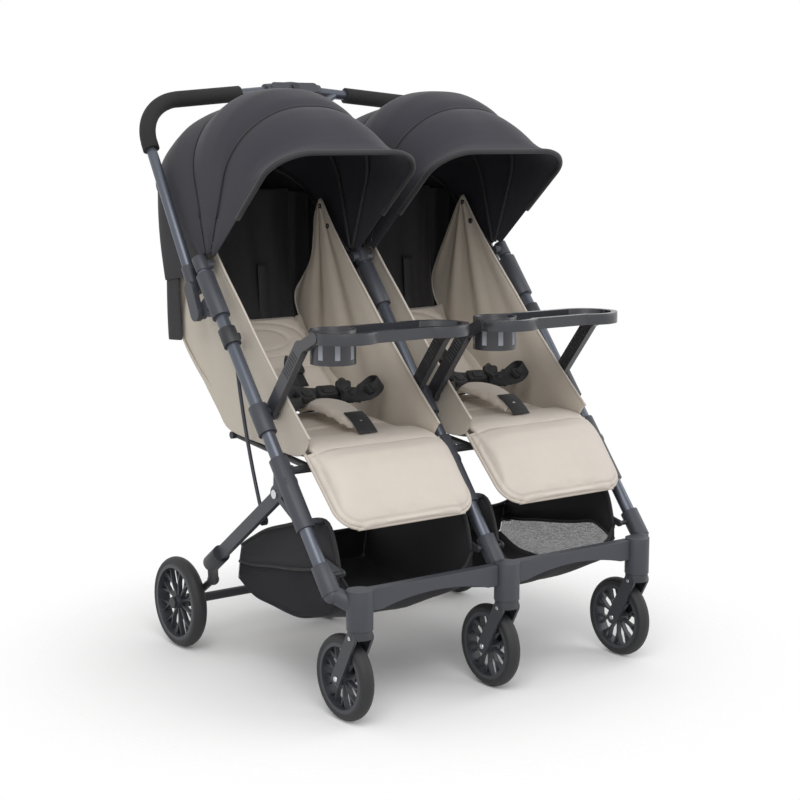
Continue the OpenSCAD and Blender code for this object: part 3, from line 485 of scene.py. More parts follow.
def cloth_piece(name, grid, material, thickness, body, smooth=1):
    """A grid of places as cloth that rides on a body."""
    grid = np.asarray(grid)
    made = piece(name, grid.reshape(-1, 3), grid_faces(*grid.shape[:2]), material)
    solid(made, thickness, smooth)
    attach(made, body)
    return made


BASKET_IN = 31
BASKET_OUT = 317
# Points down each side wall and across the floor, and the wall's points where the net begins and ends
WALL_POINTS = 7
FLOOR_POINTS = 15
NET_TOP = 3
NET_FOOT = 6
# How far the end walls' brims dip in the middle
BASKET_DIP = {"front": 34, "rear": 4}
basket_brim = smooth_line([(62, 250), (80, 308), (106, 338), (165, 328), (230, 308), (300, 286), (350, 262),
                           (391, 240)], 40)
basket_floor = smooth_line([(62, 201), (96, 178), (134, 162), (200, 146), (290, 148), (350, 152), (406, 174)],
                           40)


def basket(side):
    """Side walls and floor of one basket, as rows of places from brim to brim."""
    sections = []
    for i, ((by, bz), (fy, fz)) in enumerate(zip(basket_brim, basket_floor)):
        share = i / (len(basket_brim) - 1)
        section = []
        for down in np.linspace(0, 1, WALL_POINTS):
            billow = 5 * math.sin(math.pi * down)
            section.append((BASKET_OUT + billow * 0.2, by + (fy - by) * down, bz + (fz - bz) * down))
        for across in np.linspace(0, 1, FLOOR_POINTS)[1:-1]:
            x = BASKET_OUT + (BASKET_IN - BASKET_OUT) * across
            sag = 14 * math.sin(math.pi * across) * math.sin(math.pi * min(1, share * 1.6 + 0.1))
            ripple = 1.8 * math.sin(x / 19 + fy / 31) * math.sin(math.pi * across)
            section.append((x, fy, fz - sag + ripple))
        for down in np.linspace(1, 0, WALL_POINTS):
            section.append((BASKET_IN, by + (fy - by) * down, bz + (fz - bz) * down))
        sections.append(section)
    tub = np.array(sections)
    tub[:, :, 0] *= side
    return tub


for name, side in SIDES.items():
    tub = basket(side)
    strips = [tub[:, :NET_TOP + 1], tub[:, NET_FOOT:]]
    parts = [(strip.reshape(-1, 3), grid_faces(*strip.shape[:2])) for strip in strips]
    cloth = piece("basket_cloth_" + name, *join_meshes(parts), basket_cloth)
    area = cloth_area(cloth)
    solid(cloth, 2.4, smooth=0)
    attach(cloth, "frame")
    cloth_piece("basket_net_" + name, tub[:, NET_TOP:NET_FOOT + 1], net, 1, "frame",
                smooth=0)
    parts = [tube_mesh(line, 3.2) for line in (tub[:, 0], tub[:, NET_TOP], tub[:, -1])]
    piece("basket_binding_" + name, *join_meshes(parts), binding, "frame")
    for end, line in (("front", tub[0]), ("rear", tub[-1])):
        wall = []
        lip = np.array([line[0], line[-1]])
        floor_z = line[WALL_POINTS:-WALL_POINTS, 2]
        for across in np.linspace(0, 1, 21):
            x = lip[0][0] + (lip[1][0] - lip[0][0]) * across
            dip = min(1, 3 * math.sin(math.pi * across))
            foot_z = np.interp(across, np.linspace(0, 1, len(floor_z)), floor_z)
            top = lip[0][2] - BASKET_DIP[end] * dip ** 0.5
            column = []
            for down in np.linspace(0, 1, 8):
                y = lip[0][1] + (line[9][1] - lip[0][1]) * down
                ripple = 2.5 * math.sin(across * 26) * math.sin(math.pi * down)
                column.append((x, y + ripple, top + (foot_z - top) * down))
            wall.append(column)
        wall = np.array(wall)
        cloth_piece("basket_%s_%s" % (end, name), wall, basket_cloth, 1.4, "frame")
        piece("basket_hem_%s_%s" % (end, name), *tube_mesh(wall[:, 0], 3), binding, "frame")
    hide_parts("baskets")

# Seat cushions
# Foam pads in a stitched leather-look cover, one on each seat frame, with a soft roll over the front rod.
# Each is a plain block blown up as cloth, then pressed in along its sewn channels.


def leather_grain_group():
    """Leather-look cover: pebbled grain, fine creases and a slow drift of shade."""
    tree, source, result = effect_group("leather_grain", [("Pebbles", 620.0)])
    place = tree.nodes.new("ShaderNodeTexCoord").outputs["Object"]
    cells = tree.nodes.new("ShaderNodeTexVoronoi")
    cells.feature = "SMOOTH_F1"
    tree.links.new(place, cells.inputs["Vector"])
    tree.links.new(source.outputs["Pebbles"], cells.inputs["Scale"])
    slow = noise(tree, place, 7.0, 4.0)
    crease = noise(tree, place, 46.0, 4.0)
    vary(tree, source, mixed(tree, crease, 0.4, slow), result)
    tree.links.new(calc(tree, "ADD", calc(tree, "MULTIPLY", cells.outputs["Distance"], 0.5), crease),
                   result.inputs["Height"])
    return tree


leather_grain = leather_grain_group()
beige = finish_of("beige_cover", leather_grain, (0.625, 0.565, 0.50), 0.52, 0.22, depth=0.0008, sheen=0.08,
                  Mottle=0.16)
beige_piping = finish_of("beige_piping", leather_grain, (0.575, 0.515, 0.45), 0.5, 0.2, Mottle=0.12)


def block_mesh(stations):
    """A closed block lofted through stations of (front points, rear points) across it."""
    loops = [np.vstack([front, rear[::-1]]) for front, rear in stations]
    return np.vstack(loops), closed_faces(len(loops), len(loops[0]))


VOXEL = 0.0055
PUFF_PRESSURE = 4.0
PUFF_STEPS = 20


def stuffed(name, points, faces, material, cap):
    """A padded cover: a plain block remeshed and blown up as cloth, with its swelling capped."""
    made = piece(name, points, faces, material)
    remesh = made.modifiers.new("remesh", "REMESH")
    remesh.mode = "VOXEL"
    remesh.voxel_size = VOXEL
    applied(made)
    start = np.array([v.co for v in made.data.vertices])
    cloth = made.modifiers.new("cloth", "CLOTH")
    cloth.settings.use_pressure = True
    cloth.settings.uniform_pressure_force = PUFF_PRESSURE
    cloth.settings.effector_weights.gravity = 0
    for step in range(1, PUFF_STEPS + 1):
        scene.frame_set(step)
    shape = made.evaluated_get(bpy.context.evaluated_depsgraph_get())
    swell = np.array([v.co for v in shape.data.vertices]) - start
    made.modifiers.clear()
    scene.frame_set(1)
    length = np.linalg.norm(swell, axis=1)[:, None] + 1e-9
    swell *= np.minimum(1, cap / 1000 / length)
    made.data.vertices.foreach_set("co", (start + swell).ravel())
    made.data.update()
    made.modifiers.new("smooth", "SUBSURF").levels = 1
    applied(made)
    made.data.materials.clear()
    made.data.materials.append(material)
    made.data.shade_smooth()
    return made


def press(made, depth_at):
    """Presses a padded piece in along its seams; depth_at takes places in millimetres and gives depths."""
    mesh = made.data
    points = np.array([v.co for v in mesh.vertices])
    normals = np.array([v.normal for v in mesh.vertices])
    depths = depth_at(points * 1000 + (0, MIDDLE_Y, 0), normals)
    mesh.vertices.foreach_set("co", (points - normals * depths[:, None] / 1000).ravel())
    mesh.update()


def padded_cover(made, body):
    """Puts a padded cover on its body."""
    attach(made, body)


def groove(distance, depth, width):
    """Depth of a sewn channel at a distance from its middle."""
    return depth * np.exp(-(distance / width) ** 2)


RAIL_FOOT = np.array((179.3, 417.1))
RAIL_SLOPE = (440 - 417.1) / (436 - 179.3)
RAIL_R = 6.3
SEAT_FRONT = 196
SEAT_REAR = 416
SEAT_HALF = 130
SEAT_THICK = 19
# Where the cushion's corners begin to round, and how far
SEAT_TURNS = (222, 392)
SEAT_CORNER = 26
SEAT_CHANNELS = (278, 348)


def rail_top(y):
    return RAIL_FOOT[1] + (y - RAIL_FOOT[0]) * RAIL_SLOPE + RAIL_R


def seat_stations(centre):
    """Stations of a seat cushion from the front rod to the backrest, rounded in plan at its corners."""
    stations = []
    for y in np.linspace(SEAT_FRONT, SEAT_REAR, 15):
        turns = max(0, (SEAT_TURNS[0] - y) / SEAT_CORNER) ** 2
        turns += max(0, (y - SEAT_TURNS[1]) / SEAT_CORNER) ** 2
        half = SEAT_HALF - SEAT_CORNER * turns
        x = np.linspace(-half, half, 13)
        crown = 5 * (1 - (x / 136) ** 2)
        low = rail_top(y) + 5
        stations.append((np.stack([centre + x, np.full(13, y), low + SEAT_THICK + crown], 1),
                         np.stack([centre + x, np.full(13, y), np.full(13, low)], 1)))
    return stations


def seat_seams(points, normals):
    """Two sewn channels across the cushion."""
    top = np.clip(normals[:, 2], 0, 1)
    return sum(groove(points[:, 1] - y, 4, 5) for y in SEAT_CHANNELS) * top


for name, side in SIDES.items():
    pad = stuffed("seat_cushion_" + name, *block_mesh(seat_stations(side * SEAT_X)), beige, 6)
    press(pad, seat_seams)
    padded_cover(pad, "frame")
    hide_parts("seat_pads")

CALF_TURN = math.radians(44)


def on_calf(x, along, out):
    """A place on a calf rest: along from its hinge, negative downward, and out of its front face."""
    return (x, RAIL_FOOT[0] + along * math.cos(CALF_TURN) - out * math.sin(CALF_TURN),
            RAIL_FOOT[1] + along * math.sin(CALF_TURN) + out * math.cos(CALF_TURN))


def steps_along(line):
    """Each point of a side line: its place, the way out square to the line, and its share of the way."""
    for i, (y, z) in enumerate(line):
        along = line[min(i + 1, len(line) - 1)] - line[max(i - 1, 0)]
        along = along / np.linalg.norm(along)
        yield y, z, np.array((-along[1], along[0])), i / (len(line) - 1)


ROLL_HALF = 138
ROLL_THICK = 9
roll_line = smooth_line([(240, 455), (216, 461), (192, 461), (168, 459), (148, 453), (132, 443)], 14)
for name, side in SIDES.items():
    stations = []
    for y, z, back, share in steps_along(roll_line):
        out = -back
        half = ROLL_HALF - 12 * max(0, 1 - share * 4) ** 2
        x = np.linspace(-half, half, 15)
        front = np.stack([side * SEAT_X + x, np.full(15, y), np.full(15, z)], 1)
        fall = 5 * np.abs(x / 140) ** 6
        front[:, 1:] -= fall[:, None] * out
        rear = front.copy()
        rear[:, 1:] -= ROLL_THICK * out
        stations.append((front, rear))
    roll = stuffed("seat_roll_" + name, *block_mesh(stations), beige, 5)
    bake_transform(roll)

# Calf rests
# Padded panels that hang from the front rod of each seat, sewn to the seat roll along a cross seam.
# A piped edge runs round the rounded panel just inside its rim.
CALF_HALF = 147
CALF_FOOT = -160
CALF_HEAD = 8
CALF_CORNER = 46
# Places along the panel, and how far out of the hinge line its middle stands there
CALF_CROWN = [(-170, 40), (-130, 53), (-100, 63), (-60, 71), (-30, 71), (-8, 60), (8, 46)]
CALF_RIM = 36


def calf_half_at(along):
    """Half width of the calf panel, which rounds off at the foot."""
    down = CALF_FOOT + CALF_CORNER - along
    if down <= 0:
        return CALF_HALF
    return CALF_HALF - CALF_CORNER + math.sqrt(max(CALF_CORNER ** 2 - down ** 2, 9))


calf_lines = CALF_FOOT - 4 + (CALF_HEAD + 4 - CALF_FOOT) * np.linspace(0, 1, 30) ** 1.4


def calf_edge(centre, inset, out):
    """The rim of a calf panel as a line from one upper corner round the foot to the other."""
    half = CALF_HALF - inset
    corner = CALF_CORNER - inset
    foot = CALF_FOOT + inset
    turn = np.linspace(0, math.pi / 2, 9)
    left = [(-half, CALF_HEAD), (-half, (CALF_HEAD + foot) / 2), (-half, foot + corner + 18)]
    left += [(-half + corner - corner * math.cos(a), foot + corner - corner * math.sin(a)) for a in turn]
    right = [(-x, v) for x, v in left[::-1]]
    line = smooth_line(left + right, 90)
    return [on_calf(centre + x, v, out) for x, v in line]


for name, side in SIDES.items():
    stations = []
    for along in calf_lines:
        share = np.linspace(-1, 1, 25)
        x = share * (calf_half_at(along) + 3)
        crown = (np.interp(along, *zip(*CALF_CROWN)) - CALF_RIM - 2) * (1 - np.abs(share) ** 6)
        front = [on_calf(side * SEAT_X + a, along, CALF_RIM + 2 + c) for a, c in zip(x, crown)]
        rear = [on_calf(side * SEAT_X + a, along, CALF_RIM - 6) for a in x]
        stations.append((np.array(front), np.array(rear)))
    panel = stuffed("calf_panel_" + name, *block_mesh(stations), beige, 5)

    def calf_seams(points, normals):
        lateral = np.abs(points[:, 0] - side * SEAT_X)
        y, z = points[:, 1] - RAIL_FOOT[0], points[:, 2] - RAIL_FOOT[1]
        along = y * math.cos(CALF_TURN) + z * math.sin(CALF_TURN)
        corner_x = np.maximum(lateral - (CALF_HALF - CALF_CORNER), 0)
        corner_v = np.maximum(CALF_FOOT + CALF_CORNER - along, 0)
        rim = CALF_CORNER - np.hypot(corner_x, corner_v)
        facing = np.clip(normals @ np.array((0, -math.sin(CALF_TURN), math.cos(CALF_TURN))), 0, 1)
        return (groove(rim - 8, 2.2, 2.4) + groove(along + 2, 3, 4)) * facing

    press(panel, calf_seams)
    padded_cover(panel, "calf_" + name)
    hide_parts("calf_rest_" + name)
    rim = piece("calf_piping_" + name, *tube_mesh(calf_edge(side * SEAT_X, 2, CALF_RIM - 2), 3), beige_piping,
                "calf_" + name)

# Seat backs
# A deep bucket: a beige cushion with oval sewn channels low down, black lining above it, a black cloth back
# and a beige outer shell under that. The lining and the outer back hang in soft upright folds.
back_line = smooth_line([(431, 474), (452, 494), (505, 541), (556, 590), (599, 642)], 20)
back_cloth = finish_of("back_cloth", cloth_weave, (0.015, 0.014, 0.017), 0.8, 0.3, sheen=0.08, Mottle=0.35)
wing_cloth = finish_of("wing_cover", leather_grain, (0.60, 0.54, 0.46), 0.6, 0.25, depth=0.0008, sheen=0.1,
                       Mottle=0.18)


# The point of the back line in the middle of the ovals, and the outer oval's half height and half width
OVAL_AT = 14
OVAL_HALF = (42, 112)


def back_seams(centre):
    """Oval channels round the middle of the back cushion and one across its foot."""
    middle = back_line[OVAL_AT]

    def depth(points, normals):
        way = (back_line[-1] - back_line[0]) / np.linalg.norm(back_line[-1] - back_line[0])
        along = (points[:, 1:] - middle) @ way
        lateral = points[:, 0] - centre
        ring = np.sqrt((along / OVAL_HALF[0]) ** 2 + (lateral / OVAL_HALF[1]) ** 2)
        facing = np.clip(normals @ np.array((0, -way[1], way[0])), 0, 1)
        ovals = groove((ring - 1) * 60, 4, 4) + groove((ring - 0.62) * 60, 3, 4)
        return (ovals + groove(along + 70, 4, 5)) * facing

    return depth


BACK_HALF = 129
BACK_THICK = 17
BUCKET_HALF = 147
lining_line = smooth_line([(590, 622), (604, 652), (610, 690), (613, 740), (616, 800), (617, 890)], 22)
LINING_HALF = 133
outer_line = smooth_line([(650, 884), (653, 820), (655, 720), (655, 650), (652, 600)], 22)
bucket_line = smooth_line([(646, 622), (626, 586), (590, 548), (540, 506), (484, 466)], 18)
OUTER_HALF = 149


def outer_section(y, z, out, depth, share):
    """The outer back across the seat: two side flaps that turn the corner into a folded middle."""
    section = []
    for s in np.linspace(-1, 1, 49):
        flap = max(0, (abs(s) - 0.82) / 0.18)
        bend = min(1, max(0, (abs(s) - 0.66) / 0.16))
        lateral = math.copysign(OUTER_HALF * min(1, (abs(s) / 0.82) ** 0.96), s)
        forward = 5 * bend ** 2 + depth * flap
        depth_here = 3.5 * (1 - bend) * math.sin(math.pi * min(1, share * 1.4))
        fold = depth_here * math.sin(s * 15 + 1.3 * math.sin(share * 4))
        section.append((lateral, y - (forward + fold) * out[0], z - (forward + fold) * out[1]))
    return section


for name, side in SIDES.items():
    centre = side * SEAT_X
    body = "backrest_" + name
    stations = []
    for y, z, out, share in steps_along(back_line):
        half = BACK_HALF - 16 * max(0, (share - 0.86) / 0.14) ** 2
        x = np.linspace(-half, half, 15)
        crown = 4 * (1 - (x / 130) ** 2)
        front = np.stack([centre + x, y + out[0] * (crown - 3), z + out[1] * (crown - 3)], 1)
        rear_y, rear_z = (y, z) - BACK_THICK * out
        rear = np.stack([centre + x, np.full(15, rear_y), np.full(15, rear_z)], 1)
        stations.append((front, rear))
    cushion = stuffed("back_cushion_" + name, *block_mesh(stations), beige, 6)
    press(cushion, back_seams(centre))
    padded_cover(cushion, body)
    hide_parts("back_pad_" + name)

    rows = []
    for y, z, out, share in steps_along(lining_line):
        row = []
        for s in np.linspace(-1, 1, 41):
            depth = 4.5 * math.sin(math.pi * share) * (1 - s ** 6)
            fold = depth * math.sin(s * 13 + 0.9 * math.sin(3 * share + side))
            wrap = -32 * max(0, (abs(s) - 0.5) / 0.5) ** 2
            row.append((centre + LINING_HALF * s, y + out[0] * (fold + wrap), z + out[1] * (fold + wrap)))
        rows.append(row)
    cloth_piece("back_lining_" + name, rows, back_cloth, 2, body)

    rows = []
    for y, z, out, share in steps_along(outer_line):
        depth = 64 - 20 * (1 - share)
        rows.append([(centre + x, yy, zz) for x, yy, zz in outer_section(y, z, out, depth, share)])
    outer = cloth_piece("back_cover_" + name, rows, back_cloth, 2, body)
    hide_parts("backrest_shell_" + name)

    rows = []
    for y, z, out, share in steps_along(bucket_line):
        half = BUCKET_HALF - 9 * share ** 2
        row = []
        for s in np.linspace(-1, 1, 33):
            turn = 46 * max(0, (abs(s) - 0.72) / 0.28) ** 2
            row.append((centre + half * s, y - out[0] * turn, z - out[1] * turn))
        rows.append(row)
    cloth_piece("back_bucket_" + name, rows, wing_cloth, 2.4, body)

# Side wings
# Beige cloth from the seat rail to a snapped point under the canopy, creased where it hangs from that point.
# A turned hem runs along the front edge and the back edge.
wing_foot = [(168, 446), (200, 437), (300, 442), (425, 452), (467, 483), (515, 527), (604, 612)]
WING_LOW = {
    "inner": smooth_line(wing_foot + [(634, 652), (636, 682), (604, 716), (576, 752), (566, 800), (562, 836),
                                      (546, 868)], 64),
    "outer": smooth_line(wing_foot + [(640, 652), (648, 690), (632, 728), (606, 772), (586, 806), (566, 840),
                                      (546, 868)], 64),
}
wing_high = smooth_line([(152, 474), (222, 536), (314, 624), (376, 688), (438, 750), (500, 818), (541, 870)],
                        64)
WING_X = 141
WING_TOP = np.array((545.0, 872.0))
WING_ACROSS = 22


def wing_rows(side, way, edge):
    """Points of one wing between its lower and upper edge, with creases that fan out from its top."""
    rows = []
    for low, high in zip(WING_LOW[edge], wing_high):
        row = []
        for share in np.linspace(0, 1, WING_ACROSS):
            place = low + (high - low) * share
            from_top = place - WING_TOP
            reach = np.linalg.norm(from_top)
            angle = math.atan2(from_top[0], -from_top[1])
            across = math.sin(math.pi * share)
            fade = min(1, reach / 150) * math.exp(-(reach / 420) ** 2) * max(0, across) ** 0.5
            crease = 5.5 * math.sin(angle * 15 + side + 2 * way) + 2.2 * math.sin(angle * 31 + way)
            row.append((side * SEAT_X + way * (WING_X - 2.5 * across) + crease * fade, *place))
        rows.append(row)
    return np.array(rows)


for name, side in SIDES.items():
    for edge, way in (("inner", -side), ("outer", side)):
        label = "%s_%s" % (name, edge)
        rows = wing_rows(side, way, edge)
        wing = piece("side_wing_" + label, rows.reshape(-1, 3), grid_faces(*rows.shape[:2]), wing_cloth)
        area = cloth_area(wing)
        solid(wing, 2.4)
        applied(wing)
        hem_line = np.vstack([rows[:, -1], rows[:-24:-1, 0]])
        hem = piece("wing_hem_" + label, *tube_mesh(hem_line, 2.6), beige_piping)
        studs = []
        for y, z in ((541, 856), (514, 818)):
            for face in (-1, 1):
                x = side * SEAT_X + way * WING_X + face * 1.6
                studs.append(screw_head((x, y, z), (face, 0, 0), 6))
        snaps = piece("wing_snaps_" + label, *join_meshes(studs), black_moulding)
        for part in (wing, hem, snaps):
            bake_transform(part)
        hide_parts("side_wings_" + name)

# Canopies
# Black cloth over three hoops on each seat: a fixed rear panel, a hood and a visor that fold back under it.
# The panels dome between their hoops, with piping on each seam and a bound brim in front.
CANOPY = np.array((456.2, 759.0))
canopy_cloth = finish_of("canopy_cloth", cloth_weave, (0.024, 0.0225, 0.0315), 0.78, 0.25, sheen=0.12,
                         Mottle=0.22)
canopy_piping = finish_of("canopy_piping", cloth_weave, (0.020, 0.020, 0.023), 0.7, 0.2, sheen=0.1,
                          Mottle=0.2)


def hoop(half, radius, wide, high):
    """A hoop from one pivot over to the other, as lateral places and distances from the pivot."""
    side = [(-half, r) for r in np.linspace(20, radius - high, 9)]
    turn = np.linspace(0, math.pi / 2, 15)[1:]
    side += [(-half + wide - wide * math.cos(a), radius - high + high * math.sin(a)) for a in turn]
    side += [(x, radius) for x in np.linspace(-half + wide, 0, 4)[1:]]
    half_line = np.array(side)
    return np.vstack([half_line, half_line[-2::-1] * (-1, 1)])


def on_hoop(side, line, angle):
    """Places of a hoop line at an angle above the level, in front of the pivot."""
    turn = math.radians(angle)
    return np.stack([side * SEAT_X + line[:, 0], CANOPY[0] - line[:, 1] * math.cos(turn),
                     CANOPY[1] + line[:, 1] * math.sin(turn)], 1)


def panel_rows(side, angles, half, profile):
    """Rows of a canopy panel, whose profile gives shares of the way back, radii and corner sizes."""
    rows = []
    shares, radii, wides, highs = (np.array(column, float) for column in zip(*profile))
    for share in np.linspace(0, 1, 21):
        reach, wide, high = (np.interp(share, shares, column) for column in (radii, wides, highs))
        line = hoop(half, reach, wide, high)
        weight = np.clip((line[:, 1] - 60) / 200, 0, 1)
        line[:, 0] *= 1 + 0.012 * math.sin(math.pi * share) * (1 - weight)
        rows.append(on_hoop(side, line, angles[0] + (angles[1] - angles[0]) * share))
    return np.array(rows)


PANELS = {
    "rear": ("frame", (107, 146), 165, [(0, 308, 150, 148), (0.12, 313, 148, 142), (0.4, 324, 138, 130),
                                        (0.75, 325, 122, 114), (1, 319, 112, 104)]),
    "hood": ("hood_", (71, 109), 162, [(0, 304, 150, 138), (0.1, 312, 150, 138), (0.35, 321, 150, 140),
                                       (0.65, 321, 151, 144), (0.9, 313, 152, 150), (1, 305, 152, 152)]),
    "visor": ("visor_", (41, 73), 159, [(0, 313, 76, 66), (0.07, 308, 90, 80), (0.16, 304, 108, 98),
                                        (0.3, 304, 124, 112), (0.55, 307, 138, 124), (0.8, 306, 144, 132),
                                        (1, 301, 148, 136)]),
}
# Share of its height that each folding panel keeps, slack, once it lies under the next one
FOLD_KEEP = {"hood": 0.935, "visor": 0.87}
PIPING = {"rear": 2.2, "hood": 2.8, "visor": 5.0}
# Share of its flat rectangle that a panel fills, as it narrows to its pivots
PANEL_FILL = 0.55
# What a hoop's round corners leave of its height in the way over it
HOOP_ROUND = 0.9
for name, side in SIDES.items():
    for part, (body, angles, half, profile) in PANELS.items():
        body = body if body == "frame" else body + name
        rows = panel_rows(side, angles, half, profile)
        label = "canopy_%s_cloth_%s" % (part, name)
        panel = piece(label, rows.reshape(-1, 3), grid_faces(*rows.shape[:2]), canopy_cloth)
        area = cloth_area(panel)
        solid(panel, 2)
        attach(panel, body)
        width = round(2 * (half + profile[0][1] * HOOP_ROUND) / 1000, 2)
        depth = round(area / width / PANEL_FILL, 3)
        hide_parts("canopy_%s_%s" % (part, name))
        seam = piece("canopy_%s_piping_%s" % (part, name), *tube_mesh(rows[0][4:-4], PIPING[part]),
                     canopy_piping, body)
        rib_line = on_hoop(side, hoop(half - 6, profile[-1][1] - 7, *profile[-1][2:]), angles[1] - 3)
        rib = piece("canopy_%s_rib_%s" % (part, name), *tube_mesh(rib_line, 3.2), canopy_piping, body)
        if part in FOLD_KEEP:
            for slack in (panel, seam, rib):
                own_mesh(applied(slack))

# Back curtains
# Black cloth that closes the gap between each canopy's rear hoop and the seat back.
# Its lower edge reaches round both sides of the seat back.
CURTAIN_HALF = 152
for name, side in SIDES.items():
    tail = on_hoop(side, hoop(163, 316, 112, 104), 145)
    spread = np.linspace(-1, 1, len(tail))
    foot = []
    for s in spread:
        flap = min(1, max(0, (abs(s) - 0.55) / 0.45))
        lateral = math.copysign(CURTAIN_HALF * min(1, abs(s) / 0.5) ** 0.9, s)
        corner = min(1, max(0, abs(s) - 0.4) / 0.15)
        foot.append((side * SEAT_X + lateral, 657 - 186 * flap ** 1.2 - 14 * corner, 716 + 24 * flap))
    foot = np.array(foot)
    rows = []
    for share in np.linspace(0, 1, 15):
        row = tail + (foot - tail) * share
        fold = 5 * np.sin(spread * 17) * math.sin(math.pi * share)
        row[:, 1] += fold + 16 * math.sin(math.pi * share) * np.cos(spread * math.pi / 2)
        rows.append(row)
    rows = np.array(rows)
    curtain = piece("back_curtain_" + name, rows.reshape(-1, 3), grid_faces(*rows.shape[:2]), back_cloth)
    area = cloth_area(curtain)
    solid(curtain, 1.6)
    applied(curtain)
    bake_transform(curtain)

# Harnesses
# Black webbing with plastic buckles: shoulder straps, waist straps in loose loops, and a crotch strap in a
# beige sleeve. The webbing lies loose on the cushions, so it is laid along its own listed lines.
webbing = finish_of("harness_webbing", cloth_weave, (0.012, 0.012, 0.013), 0.7, 0.4, sheen=0.1, Mottle=0.3,
                    Threads=4200.0)


def ribbon_mesh(path, width, thickness, across):
    """Points and faces of a flat strap along a path, with its width along the given ways."""
    path = np.asarray(path, float)
    across = np.broadcast_to(np.asarray(across, float), path.shape)
    ways = frames_along(path)[0]
    side = across - ways * np.sum(across * ways, axis=1)[:, None]
    side /= np.linalg.norm(side, axis=1)[:, None]
    up = np.cross(side, ways)
    outline = [(-0.5, -0.2), (-0.47, -0.5), (0.47, -0.5), (0.5, -0.2), (0.5, 0.2), (0.47, 0.5), (-0.47, 0.5),
               (-0.5, 0.2)]
    points = [p + width * a * s + thickness * b * u for p, s, u in zip(path, side, up) for a, b in outline]
    return points, closed_faces(len(path), len(outline))


def rounded_block(place, size, turn, corner):
    """A buckle body: a block with round corners and softened faces, turned in place."""
    width, depth, height = (value / 2 for value in size)
    outline = []
    for sx, sz, first in ((1, 1, 0), (-1, 1, 90), (-1, -1, 180), (1, -1, 270)):
        for step in (0, 30, 60, 90):
            a = math.radians(first + step)
            outline.append((sx * (width - corner) + corner * math.cos(a),
                            sz * (height - corner) + corner * math.sin(a)))
    layers = [(0.86, -1), (0.96, -0.92), (1, -0.7), (1, 0.7), (0.96, 0.92), (0.86, 1)]
    rows = [(x * share, deep * depth, z * share) for share, deep in layers for x, z in outline]
    points = [np.array(turn @ Vector(p)) + place for p in rows]
    return points, closed_faces(len(layers), len(outline))


# Each waist strap as places across the seat, back and up
WAIST_LINES = [
    [(-127, 418, 490), (-108, 380, 508), (-84, 350, 500), (-52, 346, 512), (-26, 362, 508)],
    [(127, 418, 490), (112, 376, 512), (92, 344, 504), (60, 338, 512), (30, 360, 510)],
    [(-70, 352, 500), (-96, 322, 500), (-104, 344, 522), (-80, 372, 520), (-52, 366, 500)],
    [(62, 342, 506), (92, 306, 514), (118, 306, 534), (124, 338, 532), (98, 352, 508)],
    [(-14, 398, 512), (-8, 424, 536), (2, 446, 566), (14, 462, 560)],
    [(-100, 400, 500), (-70, 372, 524), (-38, 352, 522), (-6, 350, 516), (24, 338, 516)],
    [(-40, 330, 510), (-74, 306, 508), (-98, 300, 518), (-92, 322, 528)],
    [(96, 388, 506), (70, 362, 528), (52, 342, 522), (40, 318, 510)],
]
# Each buckle's place, width, height, tilt and turn
WAIST_BUCKLES = [(-44, 352, 506, 30, 30, -50, 20), (-66, 372, 512, 26, 24, -30, 40),
                 (44, 346, 506, 34, 26, -55, -25), (76, 340, 512, 24, 24, -40, -50),
                 (-18, 404, 512, 28, 26, -35, 10), (-88, 388, 512, 30, 28, -40, 25),
                 (-30, 338, 518, 36, 30, -60, 15), (20, 342, 520, 40, 28, -60, -10),
                 (64, 352, 524, 30, 26, -45, -35), (100, 310, 522, 26, 22, -50, 20)]
STRAP_WIDE = 25
STRAP_THICK = 2.2
SHOULDER_X = 46
